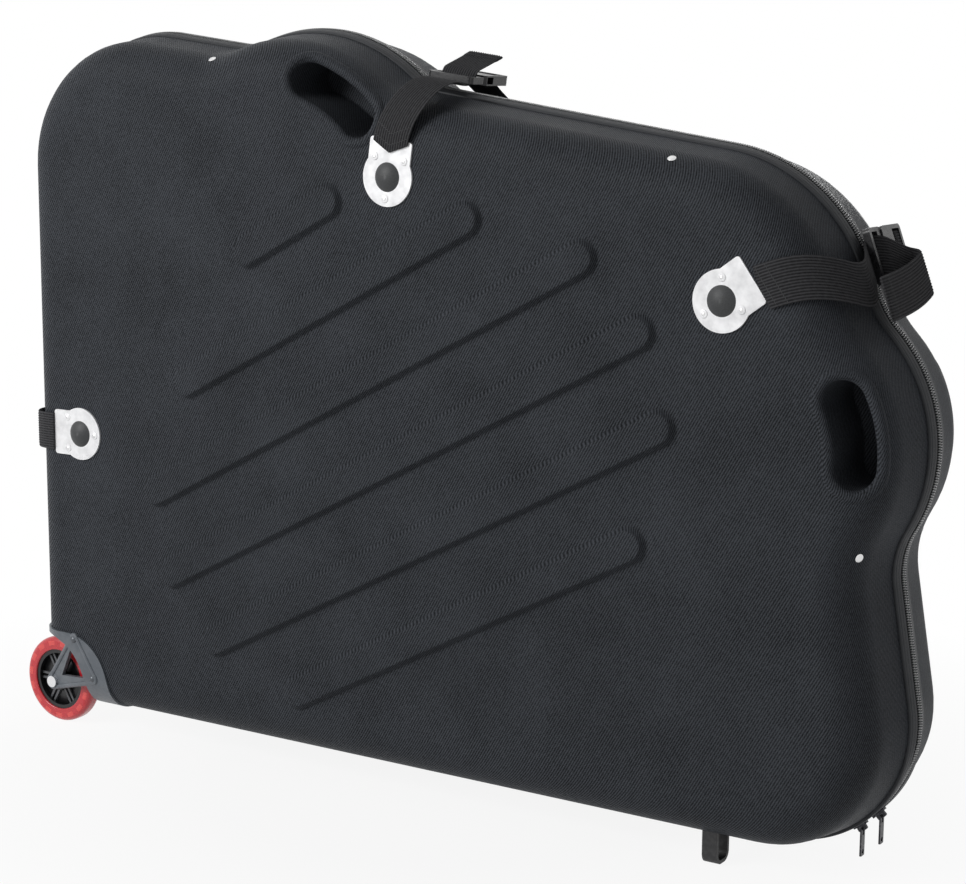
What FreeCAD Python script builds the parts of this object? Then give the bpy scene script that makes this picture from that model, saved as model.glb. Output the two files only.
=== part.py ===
"""Bike travel case: two moulded shells that hinge along the bottom edge and zip together.

Frame: +X along the length from the wheels to the side grip, +Z up from the floor, the zip in the
plane y = 0 and the front shell towards -Y. The origin is on the floor below the middle of the case.
"""
import FreeCAD, Part
import math
import os

V = FreeCAD.Vector
doc = FreeCAD.newDocument("bike_travel_case")
sheet = doc.addObject("Spreadsheet::Sheet", "sizes")

# Driving dimensions in millimetres and degrees: alias, value, meaning.
DIMENSIONS = (
    ("shell_length", 1249, "rear wall to the side grip, at the zip"),
    ("shell_height", 913, "bottom edge to the top grip, at the zip"),
    ("shell_depth", 115, "zip plane to the flat face of one shell"),
    ("wall", 3.2, "shell thickness"),
    ("edge_radius", 50, "rounding between face and side wall"),
    ("draft", 8, "slope of the side wall in degrees"),
    ("clearance_height", 30, "floor to the bottom edge of the shells"),
    ("rear_bottom_radius", 100, "corner behind the wheel"),
    ("front_bottom_radius", 150, "lower corner at the grip end"),
    ("front_bottom_setback", 159, "corner centre to the side grip's outermost line"),
    ("side_grip_radius", 180, "lobe of the side grip"),
    ("shoulder_radius", 205, "slope of the top into the side"),
    ("top_grip_radius", 235, "lobe of the top grip"),
    ("rear_top_radius", 170, "upper corner at the wheel end"),
    ("rear_top_drop", 3, "rear corner below the top grip"),
    ("waist_radius", 100, "hollows beside the grips"),
    ("blend_radius", 120, "hollow between shoulder and side grip"),
    ("grip_bar", 20, "solid rim outside a finger recess"),
    ("recess_half", 26, "half the width of a finger recess"),
    ("recess_floor", 40, "zip plane to the floor of a finger recess"),
    ("recess_draft", 5, "slope of a recess wall in degrees"),
    ("top_recess_arc", 88, "length of the top recess between its end caps"),
    ("side_recess_arc", 74, "length of the side recess between its end caps"),
    ("rib_width", 44, "width of a stiffening rib at its foot"),
    ("rib_height", 7, "rise of a stiffening rib"),
    ("rib_slope", 35, "slope of a rib's flank in degrees"),
    ("rib_lean", 28, "angle of the ribs above the floor in degrees"),
    ("zip_half", 4, "half the gap that the zip fills between the shells"),
    ("zip_split", 0.15, "half the gap between the two rows of teeth"),
    ("zip_proud", 2, "zip teeth outside the shell's edge"),
    ("binding_width", 17, "rubber binding along the shell's edge"),
    ("binding_proud", 4, "binding outside the shell's edge"),
    ("binding_round", 1.6, "rounding of the binding's outer edges"),
    ("hinge_gap", 0.5, "hinge line below the binding, and strip to front shell"),
    ("zip_end_setback", 86, "end of the zip at the bottom, from the side grip's outermost line"),
    ("zip_start_height", 118, "start of the zip above the bottom edge, at the wheel end"),
    ("slider_length", 18, "zip slider along the teeth"),
    ("slider_width", 11, "zip slider across the teeth"),
    ("slider_neck", 6.8, "slider body between the bindings"),
    ("slider_plate", 2.2, "thickness of the slider's top plate"),
    ("bridge_height", 6, "loop on the slider that carries the pull"),
    ("bridge_width", 3.2, "loop on the slider, across the teeth"),
    ("pull_pin_radius", 1, "cross bar of the pull"),
    ("pull_length", 33, "zip pull from its bar to its end"),
    ("pull_width", 10, "zip pull across"),
    ("pull_thickness", 2, "zip pull"),
    ("pull_fork", 8, "fork of the pull beside the bridge"),
    ("pull_hole_radius", 2.6, "hole at the end of the pull"),
    ("free_play", 0.3, "clearance between pieces that move apart"),
    ("wheel_radius", 60, "tyre outside"),
    ("wheel_overhang", 34, "tyre outside the rear wall"),
    ("tyre_width", 24, "tyre across"),
    ("tyre_round", 8, "shoulder of the tyre"),
    ("rim_radius", 42, "tyre seat on the hub"),
    ("rim_thickness", 5, "hub rim"),
    ("rim_width", 19, "hub rim across"),
    ("boss_radius", 15, "hub boss"),
    ("spoke_width", 3.2, "one spoke of a pair"),
    ("spoke_gap", 7, "between the middles of a pair of spokes"),
    ("spoke_depth", 9, "spoke along the axle"),
    ("bearing_radius", 11, "ball bearing outside"),
    ("bearing_width", 7, "ball bearing across"),
    ("axle_radius", 4, "axle bolt"),
    ("axle_play", 0.05, "bearing on axle"),
    ("bolt_head_radius", 8, "head of the axle bolt"),
    ("bolt_head_height", 4.5, "head and nut of the axle bolt"),
    ("wheel_inset", 32, "flat face to the middle of the wheel"),
    ("wheel_side_play", 3, "tyre to the arm beside it"),
    ("arm_thickness", 6, "bracket arm beside the wheel"),
    ("arm_reach", 88, "axle to the far corners of an arm"),
    ("arm_band", 8, "width of the arm's bars"),
    ("arm_upper_angle", 53, "upper corner of the arm in degrees"),
    ("arm_lower_angle", 13, "lower corner of the arm in degrees"),
    ("arm_boss_radius", 12, "arm round the axle"),
    ("arm_corner_radius", 9, "far corners of the arm"),
    ("well_radius", 74, "wheel well in the shell"),
    ("bracket_wall", 3, "bracket skin over the shell's corner"),
    ("bracket_height", 108, "bracket above the bottom edge"),
    ("bracket_length", 138, "bracket from the rear wall"),
    ("bracket_corner", 72, "rounded upper corner of the bracket"),
    ("arm_tilt", 9.5, "lean of the outer arm from its boss to the bracket's skin in degrees"),
    ("screw_radius", 4.5, "head of a bracket or foot screw"),
    ("screw_height", 2.2, "head of a bracket or foot screw"),
    ("foot_setback", 218, "middle of a foot to the side grip's outermost line"),
    ("foot_length", 19, "foot along the case"),
    ("foot_width", 32, "foot across the case"),
    ("foot_inset", 47, "flat face to the middle of a foot"),
    ("foot_band", 4.5, "thickness of a foot's band"),
    ("foot_round", 12, "lower corners of a foot"),
    ("plate_radius", 35, "round end of a strap plate"),
    ("plate_width", 60, "tab of a strap plate"),
    ("plate_reach", 45, "plate centre to the end of its tab"),
    ("plate_thickness", 2.5, "strap plate"),
    ("plate_corner", 4, "corners of the tab"),
    ("dome_radius", 17.5, "cap in the middle of a strap plate"),
    ("dome_height", 6.5, "cap in the middle of a strap plate"),
    ("rivet_radius", 3.5, "head of a plate rivet"),
    ("rivet_height", 1.6, "head of a plate rivet"),
    ("rivet_setback", 9, "plate rivet from the plate's edge"),
    ("top_plate_inset", 98, "outline to the middle of the top plate"),
    ("top_strap_angle", 82, "direction of the top strap in degrees"),
    ("side_plate_inset", 121.5, "outline to the middle of the side plate"),
    ("side_strap_step", 8.4, "side strap from the shoulder's lower end in degrees"),
    ("side_strap_lean", 4.7, "side strap below the shoulder's radius in degrees"),
    ("side_plate_turn", 16, "side plate turned further than its strap in degrees"),
    ("rear_plate_inset", 101, "rear plate from the rear wall"),
    ("rear_strap_angle", 180, "direction of the rear strap in degrees"),
    ("webbing_width", 50, "strap webbing"),
    ("webbing_thickness", 2.5, "strap webbing"),
    ("webbing_overlap", 16, "webbing sewn over the plate's tab"),
    ("webbing_lift", 1.2, "webbing off the shell where it bends over the edge"),
    ("tail_rise", 46, "free end of the webbing outside the edge"),
    ("rear_tail_rise", 31, "free end of the rear webbing outside the edge"),
    ("tail_lean", 14, "free end of the webbing behind the bar that it leaves"),
    ("buckle_width", 64, "buckle along the edge"),
    ("buckle_low", 8.7, "underside of the buckle outside the edge"),
    ("buckle_thickness", 12, "female half"),
    ("buckle_wall", 1.8, "wall of the female half"),
    ("bar_drop", 1.2, "webbing bar below the middle of its frame"),
    ("buckle_mouth", 21, "zip plane to the mouth of the female half"),
    ("buckle_socket", 28, "socket of the female half"),
    ("buckle_frame", 30, "webbing frame of either half"),
    ("buckle_rail", 5, "rails of the webbing frame"),
    ("buckle_bar_radius", 2.5, "bar that the webbing turns round"),
    ("prong_width", 7, "springing arm of the male half"),
    ("prong_thickness", 5, "springing arm of the male half"),
    ("prong_length", 18, "springing arm past the male half's shoulder"),
    ("prong_play", 2.2, "springing arm to the wall of the female half"),
    ("eyelet_radius", 5, "rivet near the shell's edge"),
    ("eyelet_height", 1.8, "rivet near the shell's edge"),
    ("tie_width", 38, "inner tie strap"),
    ("tie_thickness", 2, "inner tie strap"),
    ("tie_length", 520, "inner tie strap"),
    ("tie_patch", 60, "stitched end of an inner tie strap"),
    ("overrun", 40, "length by which cutters pass the material"),
)
for row, (alias, value, meaning) in enumerate(DIMENSIONS, start=1):
    sheet.set("A%d" % row, meaning)
    sheet.set("B%d" % row, str(value))
    sheet.setAlias("B%d" % row, alias)
doc.recompute()


class Sizes:
    """Read access to the sheet's cells by alias."""

    def __getattr__(self, alias):
        return float(sheet.get(alias))


size = Sizes()

# Places of outline features as shares of the sizes that they follow, and headings of its straight runs in degrees.
side_grip_height_share = 463 / 913
top_grip_length_share = 422 / 1249
shoulder_place_shares = (973 / 1249, 580 / 913)
rear_plate_height_share = 387 / 913
side_heading = 99.7
strap_waist_angle = 51.3
rear_top_heading = 172.5
top_recess_angle = 58.5
side_recess_angle = 12.0
rib_centre_shares = (600 / 1249, 400 / 913)
face_aspect_share = 1249 / 913
rib_half_length_shares = (290 / 1249, 385 / 1249, 410 / 1249, 380 / 1249, 262 / 1249, 92 / 1249)
rib_first_step = -2
rib_pitch_share = 0.349
slider_angles = (-54.5, -43.9)
spoke_pairs = 6
buckle_bar_share = 0.5
tie_place_shares = (0.36, 0.68)
tie_height_share = 0.42

# The rear wall and the bottom edge of the outline, so that the box of the case is centred on the origin.
rear_wall = size.wheel_overhang - (size.wheel_overhang + size.shell_length + size.binding_proud) / 2
bottom_edge = size.clearance_height
outermost = rear_wall + size.shell_length
wheel_x = rear_wall - size.wheel_overhang + size.wheel_radius
wheel_z = size.wheel_radius
wheel_setback = size.shell_depth - size.wheel_inset
wheel_cells = "(sizes.shell_depth - sizes.wheel_inset)"
foot_offset = size.shell_depth - size.foot_inset
hinge_z = bottom_edge - size.binding_proud - size.hinge_gap


# Plane outlines

touching = 1e-9


def polar(radius, angle):
    """Point at a distance and an angle in degrees from the origin of a plane."""
    return radius * math.cos(math.radians(angle)), radius * math.sin(math.radians(angle))


def tangent_run(rounds, offset=0.0, closed=True):
    """Lines and arcs that run tangent to a row of rounds (x, y, signed radius).

    A positive radius turns left round its centre and a negative one turns right. The offset moves the
    run outwards, to the right of its direction, by growing each left turn and shrinking each right turn.
    """
    count = len(rounds)
    spans = []
    for index in range(count if closed else count - 1):
        ax, ay, ar = rounds[index]
        bx, by, br = rounds[(index + 1) % count]
        reach = math.hypot(bx - ax, by - ay)
        lean = (ar - br) / reach
        if abs(lean) > 1 - touching:
            lean = math.copysign(1, lean)
        heading = math.atan2(by - ay, bx - ax) + math.asin(lean)
        left = V(-math.sin(heading), math.cos(heading), 0)
        start = V(ax, ay, 0) - left * (ar + offset)
        end = V(bx, by, 0) - left * (br + offset)
        spans.append((heading, start, end))
    run = []
    for index, (x, y, signed) in enumerate(rounds):
        radius = signed + offset
        inner = closed or 0 < index < count - 1
        if inner and radius:
            quarter = math.copysign(math.pi / 2, radius)
            first = spans[index - 1][0] - quarter
            last = spans[index][0] - quarter
            if radius < 0:
                first, last = last, first
            last = first + (last - first) % (2 * math.pi)
            circle = Part.Circle(V(x, y, 0), V(0, 0, 1), abs(radius))
            run.append(Part.ArcOfCircle(circle, first, last))
        if index < len(spans):
            heading, start, end = spans[index]
            if start.distanceToPoint(end) > Part.Precision.confusion():
                run.append(Part.LineSegment(start, end))
    return run


def beside(lobe, radius, angle):
    """Right-turning round of a radius that touches a lobe at an angle."""
    x, y, lobe_radius = lobe
    dx, dy = polar(lobe_radius + radius, angle)
    return x + dx, y + dy, -radius


def hollow(lobe, straight, heading, radius, way):
    """Right-turning round that touches a lobe and the straight run of another round at a heading.

    The way is -1 where the run leaves that round towards the lobe, and 1 where it comes from there.
    """
    (along_x, along_y), (out_x, out_y) = polar(1, heading), polar(1, heading - 90)
    reach = straight[2] + radius
    from_x, from_y = straight[0] + reach * out_x - lobe[0], straight[1] + reach * out_y - lobe[1]
    run = from_x * along_x + from_y * along_y
    slack = math.sqrt(run ** 2 - from_x ** 2 - from_y ** 2 + (lobe[2] + radius) ** 2)
    step = way * slack - run
    return lobe[0] + from_x + step * along_x, lobe[1] + from_y + step * along_y, -radius


def between(first, second, radius):
    """Right-turning round that touches two lobes, on the right of the way from first to second."""
    ax, ay, ar = first
    bx, by, br = second
    reach = math.hypot(bx - ax, by - ay)
    along = ((ar + radius) ** 2 - (br + radius) ** 2 + reach ** 2) / (2 * reach)
    aside = math.sqrt((ar + radius) ** 2 - along ** 2)
    ux, uy = (bx - ax) / reach, (by - ay) / reach
    return ax + ux * along + uy * aside, ay + uy * along - ux * aside, -radius


def case_rounds():
    """Rounds of the case's outline at the zip, anticlockwise from the corner behind the wheel."""
    top = bottom_edge + size.shell_height
    rear_bottom = (rear_wall + size.rear_bottom_radius, bottom_edge + size.rear_bottom_radius,
                   size.rear_bottom_radius)
    front_bottom = (outermost - size.front_bottom_setback, bottom_edge + size.front_bottom_radius,
                    size.front_bottom_radius)
    side_grip = (outermost - size.side_grip_radius, bottom_edge + size.shell_height * side_grip_height_share,
                 size.side_grip_radius)
    shoulder = (rear_wall + size.shell_length * shoulder_place_shares[0],
                bottom_edge + size.shell_height * shoulder_place_shares[1], size.shoulder_radius)
    top_grip = (rear_wall + size.shell_length * top_grip_length_share, top - size.top_grip_radius,
                size.top_grip_radius)
    rear_top = (rear_wall + size.rear_top_radius, top - size.rear_top_drop - size.rear_top_radius,
                size.rear_top_radius)
    return {
        "rear_bottom": rear_bottom,
        "front_bottom": front_bottom,
        "lower_waist": hollow(side_grip, front_bottom, side_heading, size.waist_radius, -1),
        "side_grip": side_grip,
        "upper_waist": between(side_grip, shoulder, size.blend_radius),
        "shoulder": shoulder,
        "strap_waist": beside(top_grip, size.waist_radius, strap_waist_angle),
        "top_grip": top_grip,
        "top_waist": hollow(top_grip, rear_top, rear_top_heading, size.waist_radius, 1),
        "rear_top": rear_top,
    }


ROUNDS = case_rounds()


def case_outline(offset=0.0):
    """Outline of the case at the zip, moved outwards by an offset."""
    return tangent_run(list(ROUNDS.values()), offset)


def circle_at(x, y, radius):
    """A full circle as the only curve of a sketch."""
    return [Part.Circle(V(x, y, 0), V(0, 0, 1), radius)]


def rectangle(x_low, y_low, x_high, y_high):
    """Four sides of an upright rectangle."""
    corners = [V(x_low, y_low, 0), V(x_high, y_low, 0), V(x_high, y_high, 0), V(x_low, y_high, 0)]
    return [Part.LineSegment(corners[i], corners[(i + 1) % 4]) for i in range(4)]


def rounded_rectangle(x_low, y_low, x_high, y_high, radius):
    """Upright rectangle with rounded corners."""
    return tangent_run([(x_low + radius, y_low + radius, radius), (x_high - radius, y_low + radius, radius),
                        (x_high - radius, y_high - radius, radius), (x_low + radius, y_high - radius, radius)])


def pill(x, y, half_length, half_width, angle):
    """Straight slot with round ends about a middle point."""
    dx, dy = polar(half_length - half_width, angle)
    return tangent_run([(x - dx, y - dy, half_width), (x + dx, y + dy, half_width)])


def curved_pill(x, y, radius, half_width, angle, arc_length):
    """Slot with round ends along an arc about a centre."""
    swing = math.radians(angle)
    half = arc_length / radius / 2
    outer = Part.ArcOfCircle(Part.Circle(V(x, y, 0), V(0, 0, 1), radius + half_width), swing - half, swing + half)
    inner = Part.ArcOfCircle(Part.Circle(V(x, y, 0), V(0, 0, 1), radius - half_width), swing - half, swing + half)
    caps = []
    for end, start in ((swing + half, swing + half), (swing - half, swing - half + math.pi)):
        middle = V(x + radius * math.cos(end), y + radius * math.sin(end), 0)
        caps.append(Part.ArcOfCircle(Part.Circle(middle, V(0, 0, 1), half_width), start, start + math.pi))
    return [outer, caps[0], inner, caps[1]]


# Features of the document

def new_body(name):
    """An empty body."""
    return doc.addObject("PartDesign::Body", name)


def origin_plane(body, role):
    """One of a body's own origin planes."""
    return next(item for item in body.Origin.OriginFeatures if item.Role == role)


def add_sketch(body, curves, role="XZ_Plane", height="0"):
    """Sketch on a plane parallel to one of the body's origin planes, at a height along its normal."""
    sketch = body.newObject("Sketcher::SketchObject", body.Name + "_sketch")
    sketch.AttachmentSupport = [(origin_plane(body, role), "")]
    sketch.MapMode = "FlatFace"
    sketch.setExpression("AttachmentOffset.Base.z", height)
    sketch.addGeometry(curves, False)
    return sketch


def add_pad(body, sketch, length, taper=None, middle=False):
    """Pad a sketch by a length along its normal, or half to each side of it."""
    pad = body.newObject("PartDesign::Pad", body.Name + "_pad")
    pad.Profile = sketch
    pad.setExpression("Length", length)
    if taper:
        pad.setExpression("TaperAngle", taper)
    pad.Midplane = middle
    doc.recompute()
    return pad


def add_pocket(body, sketch, length, taper=None, middle=False):
    """Cut a sketch into a body against its normal, or half to each side of it."""
    before = body.Shape.Volume
    pocket = body.newObject("PartDesign::Pocket", body.Name + "_pocket")
    pocket.Profile = sketch
    pocket.setExpression("Length", length)
    if taper:
        pocket.setExpression("TaperAngle", taper)
    pocket.Midplane = middle
    doc.recompute()
    if body.Shape.Volume >= before:
        raise RuntimeError("a pocket of %s cuts nothing" % body.Name)
    return pocket


def add_revolution(body, sketch):
    """Turn a sketch once round its horizontal axis."""
    turn = body.newObject("PartDesign::Revolution", body.Name + "_turn")
    turn.Profile = sketch
    turn.ReferenceAxis = (sketch, ["H_Axis"])
    turn.Angle = 360
    doc.recompute()
    return turn


def add_fillet(body, base, edges, radius):
    """Round the named edges of the body's last feature."""
    fillet = body.newObject("PartDesign::Fillet", body.Name + "_fillet")
    fillet.Base = (base, edges)
    fillet.setExpression("Radius", radius)
    doc.recompute()
    return fillet


def edges_at_y(shape, y):
    """Names of the edges that lie in one plane of constant y."""
    near = Part.Precision.confusion() * len(shape.Edges)
    names = []
    for number, edge in enumerate(shape.Edges, start=1):
        if all(abs(vertex.Point.y - y) < near for vertex in edge.Vertexes):
            names.append("Edge%d" % number)
    return names


def boolean(kind, name, base, tool):
    """Cut, fusion or common solid of two objects."""
    result = doc.addObject("Part::" + kind, name)
    result.Base = base
    result.Tool = tool
    doc.recompute()
    return result


def fusion(name, members):
    """Fusion of several objects."""
    result = doc.addObject("Part::MultiFuse", name)
    result.Shapes = members
    doc.recompute()
    return result


def group(name, members):
    """Separate like solids kept in one sub-part."""
    result = doc.addObject("Part::Compound", name)
    result.Links = members
    doc.recompute()
    return result


def mirrored(name, source):
    """Mirror image of an object through the zip plane."""
    result = doc.addObject("Part::Mirroring", name)
    result.Source = source
    result.Normal = V(0, 1, 0)
    doc.recompute()
    return result


NODES = {}


def sub_part(name, thing):
    """Give a finished object the name of its sub-part."""
    thing.Label = name
    NODES[name] = thing
    return thing


def both_shells(name, thing):
    """A piece of the front shell and its mirror image on the back shell."""
    sub_part("front_" + name, thing)
    sub_part("back_" + name, mirrored("back_" + name, thing))


# The top strap's plate lies below the hollow beside the top grip, and the ribs are spaced to clear it.
waist_x, waist_z, waist_radius = ROUNDS["strap_waist"]
plate_run = polar(waist_radius - size.top_plate_inset, size.top_strap_angle)
top_plate = (waist_x + plate_run[0], waist_z + plate_run[1])


# Moulded shells

def shell_form(name, offset, offset_cells):
    """Closed form of the front shell with its edges moved outwards by an offset: lip, side wall, rounding."""
    body = new_body(name)
    lip = add_sketch(body, case_outline(offset), height="sizes.zip_half")
    add_pad(body, lip, "sizes.binding_width")
    foot = add_sketch(body, case_outline(offset), height="sizes.zip_half + sizes.binding_width")
    wall = add_pad(body, foot, "sizes.shell_depth%s - sizes.zip_half - sizes.binding_width" % offset_cells,
                   taper="-sizes.draft")
    rim = edges_at_y(wall.Shape, -(size.shell_depth + offset))
    add_fillet(body, wall, rim, "sizes.edge_radius" + offset_cells)
    return body


def recesses(body, margin, margin_cells):
    """Finger recesses under the two grips, grown by a margin on all sides."""
    for lobe, angle, arc in (("top_grip", top_recess_angle, size.top_recess_arc),
                             ("side_grip", side_recess_angle, size.side_recess_arc)):
        x, z, radius = ROUNDS[lobe]
        middle = radius - size.grip_bar - size.recess_half
        mouth = curved_pill(x, z, middle, size.recess_half + margin, angle, arc)
        sketch = add_sketch(body, mouth, height="sizes.shell_depth")
        add_pocket(body, sketch, "sizes.shell_depth - sizes.recess_floor" + margin_cells, taper="-sizes.recess_draft")


def wheel_well(body, margin):
    """Round clearance for the wheel through the corner of a body."""
    sketch = add_sketch(body, circle_at(wheel_x, wheel_z, size.well_radius + margin),
                        height="sizes.shell_depth + sizes.overrun")
    add_pocket(body, sketch, "sizes.shell_depth + sizes.overrun + sizes.overrun")


def bracket_outline(offset=0.0):
    """Outline of the wheel bracket on the face, open past the rear wall and the bottom edge."""
    tip = size.bracket_wall + size.wall
    far_x, far_z = rear_wall + size.bracket_length, bottom_edge + size.bracket_height
    return tangent_run([(rear_wall - size.overrun, bottom_edge - size.overrun, tip),
                        (far_x - tip, bottom_edge - size.overrun, tip),
                        (far_x - size.bracket_corner, far_z - size.bracket_corner, size.bracket_corner),
                        (rear_wall - size.overrun, far_z - tip, tip)], offset)


def stiffening_ribs(body):
    """Slanted pill-shaped ribs, stepped across the flat face."""
    middle_x = rear_wall + size.shell_length * rib_centre_shares[0]
    middle_z = bottom_edge + size.shell_height * rib_centre_shares[1]
    out_x, out_z = polar(1, size.rib_lean + 90)
    pitch = ((top_plate[0] - middle_x) * out_x + (top_plate[1] - middle_z) * out_z) * rib_pitch_share
    span = min(size.shell_length, size.shell_height * face_aspect_share)
    curves = []
    for index, half_share in enumerate(rib_half_length_shares):
        step = pitch * (index + rib_first_step)
        curves += pill(middle_x + out_x * step, middle_z + out_z * step, span * half_share, size.rib_width / 2,
                       size.rib_lean)
    sketch = add_sketch(body, curves, height="sizes.shell_depth")
    add_pad(body, sketch, "sizes.rib_height", taper="-sizes.rib_slope")


outside = shell_form("shell_outside", 0.0, "")
wheel_well(outside, 0.0)
recesses(outside, 0.0, "")
stiffening_ribs(outside)

inside = shell_form("shell_inside", -size.wall, " - sizes.wall")
wheel_well(inside, size.wall)
recesses(inside, size.wall, " + sizes.wall")

both_shells("shell", boolean("Cut", "front_shell", outside, inside))

# The plain form without recesses or ribs, which pieces on the shell are trimmed against.
plain = shell_form("shell_plain", 0.0, "")
wheel_well(plain, 0.0)


# Rubber bindings, zip and hinge strip along the edges

def edge_ring(name, inner, outer, near_cells, length_cells):
    """Band along the outline between two offsets, open at the wheel well."""
    body = new_body(name)
    sketch = add_sketch(body, case_outline(outer) + case_outline(inner), height=near_cells)
    add_pad(body, sketch, length_cells)
    wheel_well(body, 0.0)
    return body


binding = edge_ring("front_binding", 0.0, size.binding_proud, "sizes.zip_half", "sizes.binding_width")
outer_corners = []
for number, edge in enumerate(binding.Shape.Edges, start=1):
    flat = edge.BoundBox.YLength < Part.Precision.confusion()
    middle = edge.valueAt((edge.FirstParameter + edge.LastParameter) / 2)
    proud = plain.Shape.distToShape(Part.Vertex(middle))[0] > size.binding_proud / 2
    from_axle = math.hypot(middle.x - wheel_x, middle.z - wheel_z)
    if flat and proud and from_axle > size.well_radius + size.binding_proud / 2:
        outer_corners.append("Edge%d" % number)
add_fillet(binding, binding.Tip, outer_corners, "sizes.binding_round")
both_shells("binding", binding)

zip_row = edge_ring("front_zip_teeth", -size.wall, size.zip_proud, "sizes.zip_split",
                    "sizes.zip_half - sizes.zip_split")
hinge_stretch = rectangle(rear_wall - size.overrun, bottom_edge - size.overrun,
                          outermost - size.zip_end_setback, bottom_edge + size.zip_start_height)
hinge_stretch[2:] = []
corner = V(outermost - size.zip_end_setback, bottom_edge + size.overrun, 0)
turn = V(rear_wall + size.overrun, bottom_edge + size.zip_start_height, 0)
hinge_stretch[1] = Part.LineSegment(hinge_stretch[0].EndPoint, corner)
hinge_stretch.append(Part.LineSegment(corner, V(turn.x, corner.y, 0)))
hinge_stretch.append(Part.LineSegment(V(turn.x, corner.y, 0), turn))
hinge_stretch.append(Part.LineSegment(turn, V(rear_wall - size.overrun, turn.y, 0)))
hinge_stretch.append(Part.LineSegment(V(rear_wall - size.overrun, turn.y, 0), hinge_stretch[0].StartPoint))
cutter = add_sketch(zip_row, hinge_stretch, height="sizes.zip_half + sizes.overrun")
add_pocket(zip_row, cutter, "sizes.zip_half + sizes.overrun + sizes.overrun")
both_shells("zip_teeth", zip_row)

strip = new_body("hinge_strip")
strip_start = wheel_x + size.well_radius
strip_sketch = add_sketch(strip, rectangle(strip_start, bottom_edge, outermost - size.front_bottom_setback,
                                           bottom_edge + size.wall), height="-sizes.zip_half")
add_pad(strip, strip_sketch, "sizes.zip_half - sizes.hinge_gap")
sub_part("hinge_strip", strip)


# Places on the outline

def outline_frame(x, z, angle):
    """Placement with its own x outwards along an angle in the zip plane and its own z along the outline."""
    return FreeCAD.Placement(V(x, 0, z), FreeCAD.Rotation(V(0, 1, 0), -angle))


def on_round(name, angle):
    """Frame on one round of the outline, at an angle about the round's centre."""
    x, z, radius = ROUNDS[name]
    dx, dz = polar(abs(radius), angle)
    return outline_frame(x + dx, z + dz, angle if radius > 0 else angle + 180)


def first_crossing(x, z, angle):
    """Where a ray in the zip plane first meets the outline, and the outline's outward angle there."""
    dx, dz = polar(size.shell_length, angle)
    ray = Part.LineSegment(V(x, z, 0), V(x + dx, z + dz, 0))
    hits = []
    for curve in case_outline():
        for hit in curve.intersectCC(ray):
            spot = V(hit.X, hit.Y, 0)
            along = curve.tangent(curve.parameter(spot))[0]
            side = 1 if along.y * dx - along.x * dz > 0 else -1
            outward = math.degrees(math.atan2(-along.x * side, along.y * side))
            hits.append((spot.distanceToPoint(V(x, z, 0)), spot, outward))
    return min(hits, key=lambda hit: hit[0])[1:]


def button(name, radius, height, place):
    """Low domed head with its flat side on a placement's origin and its crown towards the placement's -y."""
    body = new_body(name)
    sphere = (radius ** 2 + height ** 2) / (2 * height)
    half_turn = math.asin(radius / sphere) / 2
    crown, foot, base = V(-height, 0, 0), V(0, radius, 0), V(0, 0, 0)
    over = V(-height + sphere * (1 - math.cos(half_turn)), sphere * math.sin(half_turn), 0)
    dome = Part.Arc(crown, over, foot)
    sketch = add_sketch(body, [Part.LineSegment(base, crown), dome, Part.LineSegment(foot, base)], "YZ_Plane")
    add_revolution(body, sketch)
    body.Placement = place
    return body


# Zip sliders and their pulls at the lower corner

def slider(name, place):
    """Slider body between the bindings, top plate and bridge."""
    body = new_body(name)
    half = size.slider_length / 2
    neck = rectangle(-size.slider_neck / 2, -half, size.slider_neck / 2, half)
    add_pad(body, add_sketch(body, neck, "YZ_Plane", "sizes.zip_proud + sizes.free_play"),
            "sizes.binding_proud - sizes.zip_proud")
    plate = rounded_rectangle(-size.slider_width / 2, -half, size.slider_width / 2, half, size.slider_width / 4)
    add_pad(body, add_sketch(body, plate, "YZ_Plane", "sizes.binding_proud + sizes.free_play"), "sizes.slider_plate")
    foot = size.binding_proud + size.free_play + size.slider_plate / 2
    top = size.binding_proud + size.free_play + size.slider_plate + size.bridge_height
    loop = rounded_rectangle(foot, -size.bridge_height, top, size.bridge_height, size.bridge_height / 3)
    hole = circle_at(bridge_middle, 0, size.pull_pin_radius + size.free_play)
    add_pad(body, add_sketch(body, loop + hole, "XZ_Plane"), "sizes.bridge_width", middle=True)
    body.Placement = place
    return body


def pull(name, place):
    """Forked tab that hangs from its own cross bar, with a hole at its end."""
    body = new_body(name)
    half = size.pull_width / 2
    tab = rounded_rectangle(-half, -size.pull_length, half, size.pull_pin_radius, size.pull_pin_radius)
    add_pad(body, add_sketch(body, tab, "YZ_Plane"), "sizes.pull_thickness", middle=True)
    gap = size.bridge_width / 2 + 2 * size.free_play
    fork = rectangle(-gap, -size.pull_fork, gap, size.overrun)
    add_pocket(body, add_sketch(body, fork, "YZ_Plane"), "sizes.overrun", middle=True)
    eye = circle_at(0, -size.pull_length + size.pull_hole_radius * 2, size.pull_hole_radius)
    add_pocket(body, add_sketch(body, eye, "YZ_Plane"), "sizes.overrun", middle=True)
    bar = circle_at(0, 0, size.pull_pin_radius)
    add_pad(body, add_sketch(body, bar, "XZ_Plane"), "sizes.pull_width", middle=True)
    body.Placement = place
    return body


bridge_middle = size.binding_proud + size.free_play + size.slider_plate + size.bridge_height / 2
for number, angle in enumerate(slider_angles, start=1):
    place = on_round("front_bottom", angle)
    sub_part("zip_slider_%d" % number, slider("zip_slider_%d" % number, place))
    hang = place.multVec(V(bridge_middle, 0, 0))
    sub_part("zip_pull_%d" % number, pull("zip_pull_%d" % number, FreeCAD.Placement(hang, FreeCAD.Rotation())))


# Wheels, their axles and the brackets over the rear corners

wheel_place = FreeCAD.Placement(V(wheel_x, -wheel_setback, wheel_z), FreeCAD.Rotation())

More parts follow.
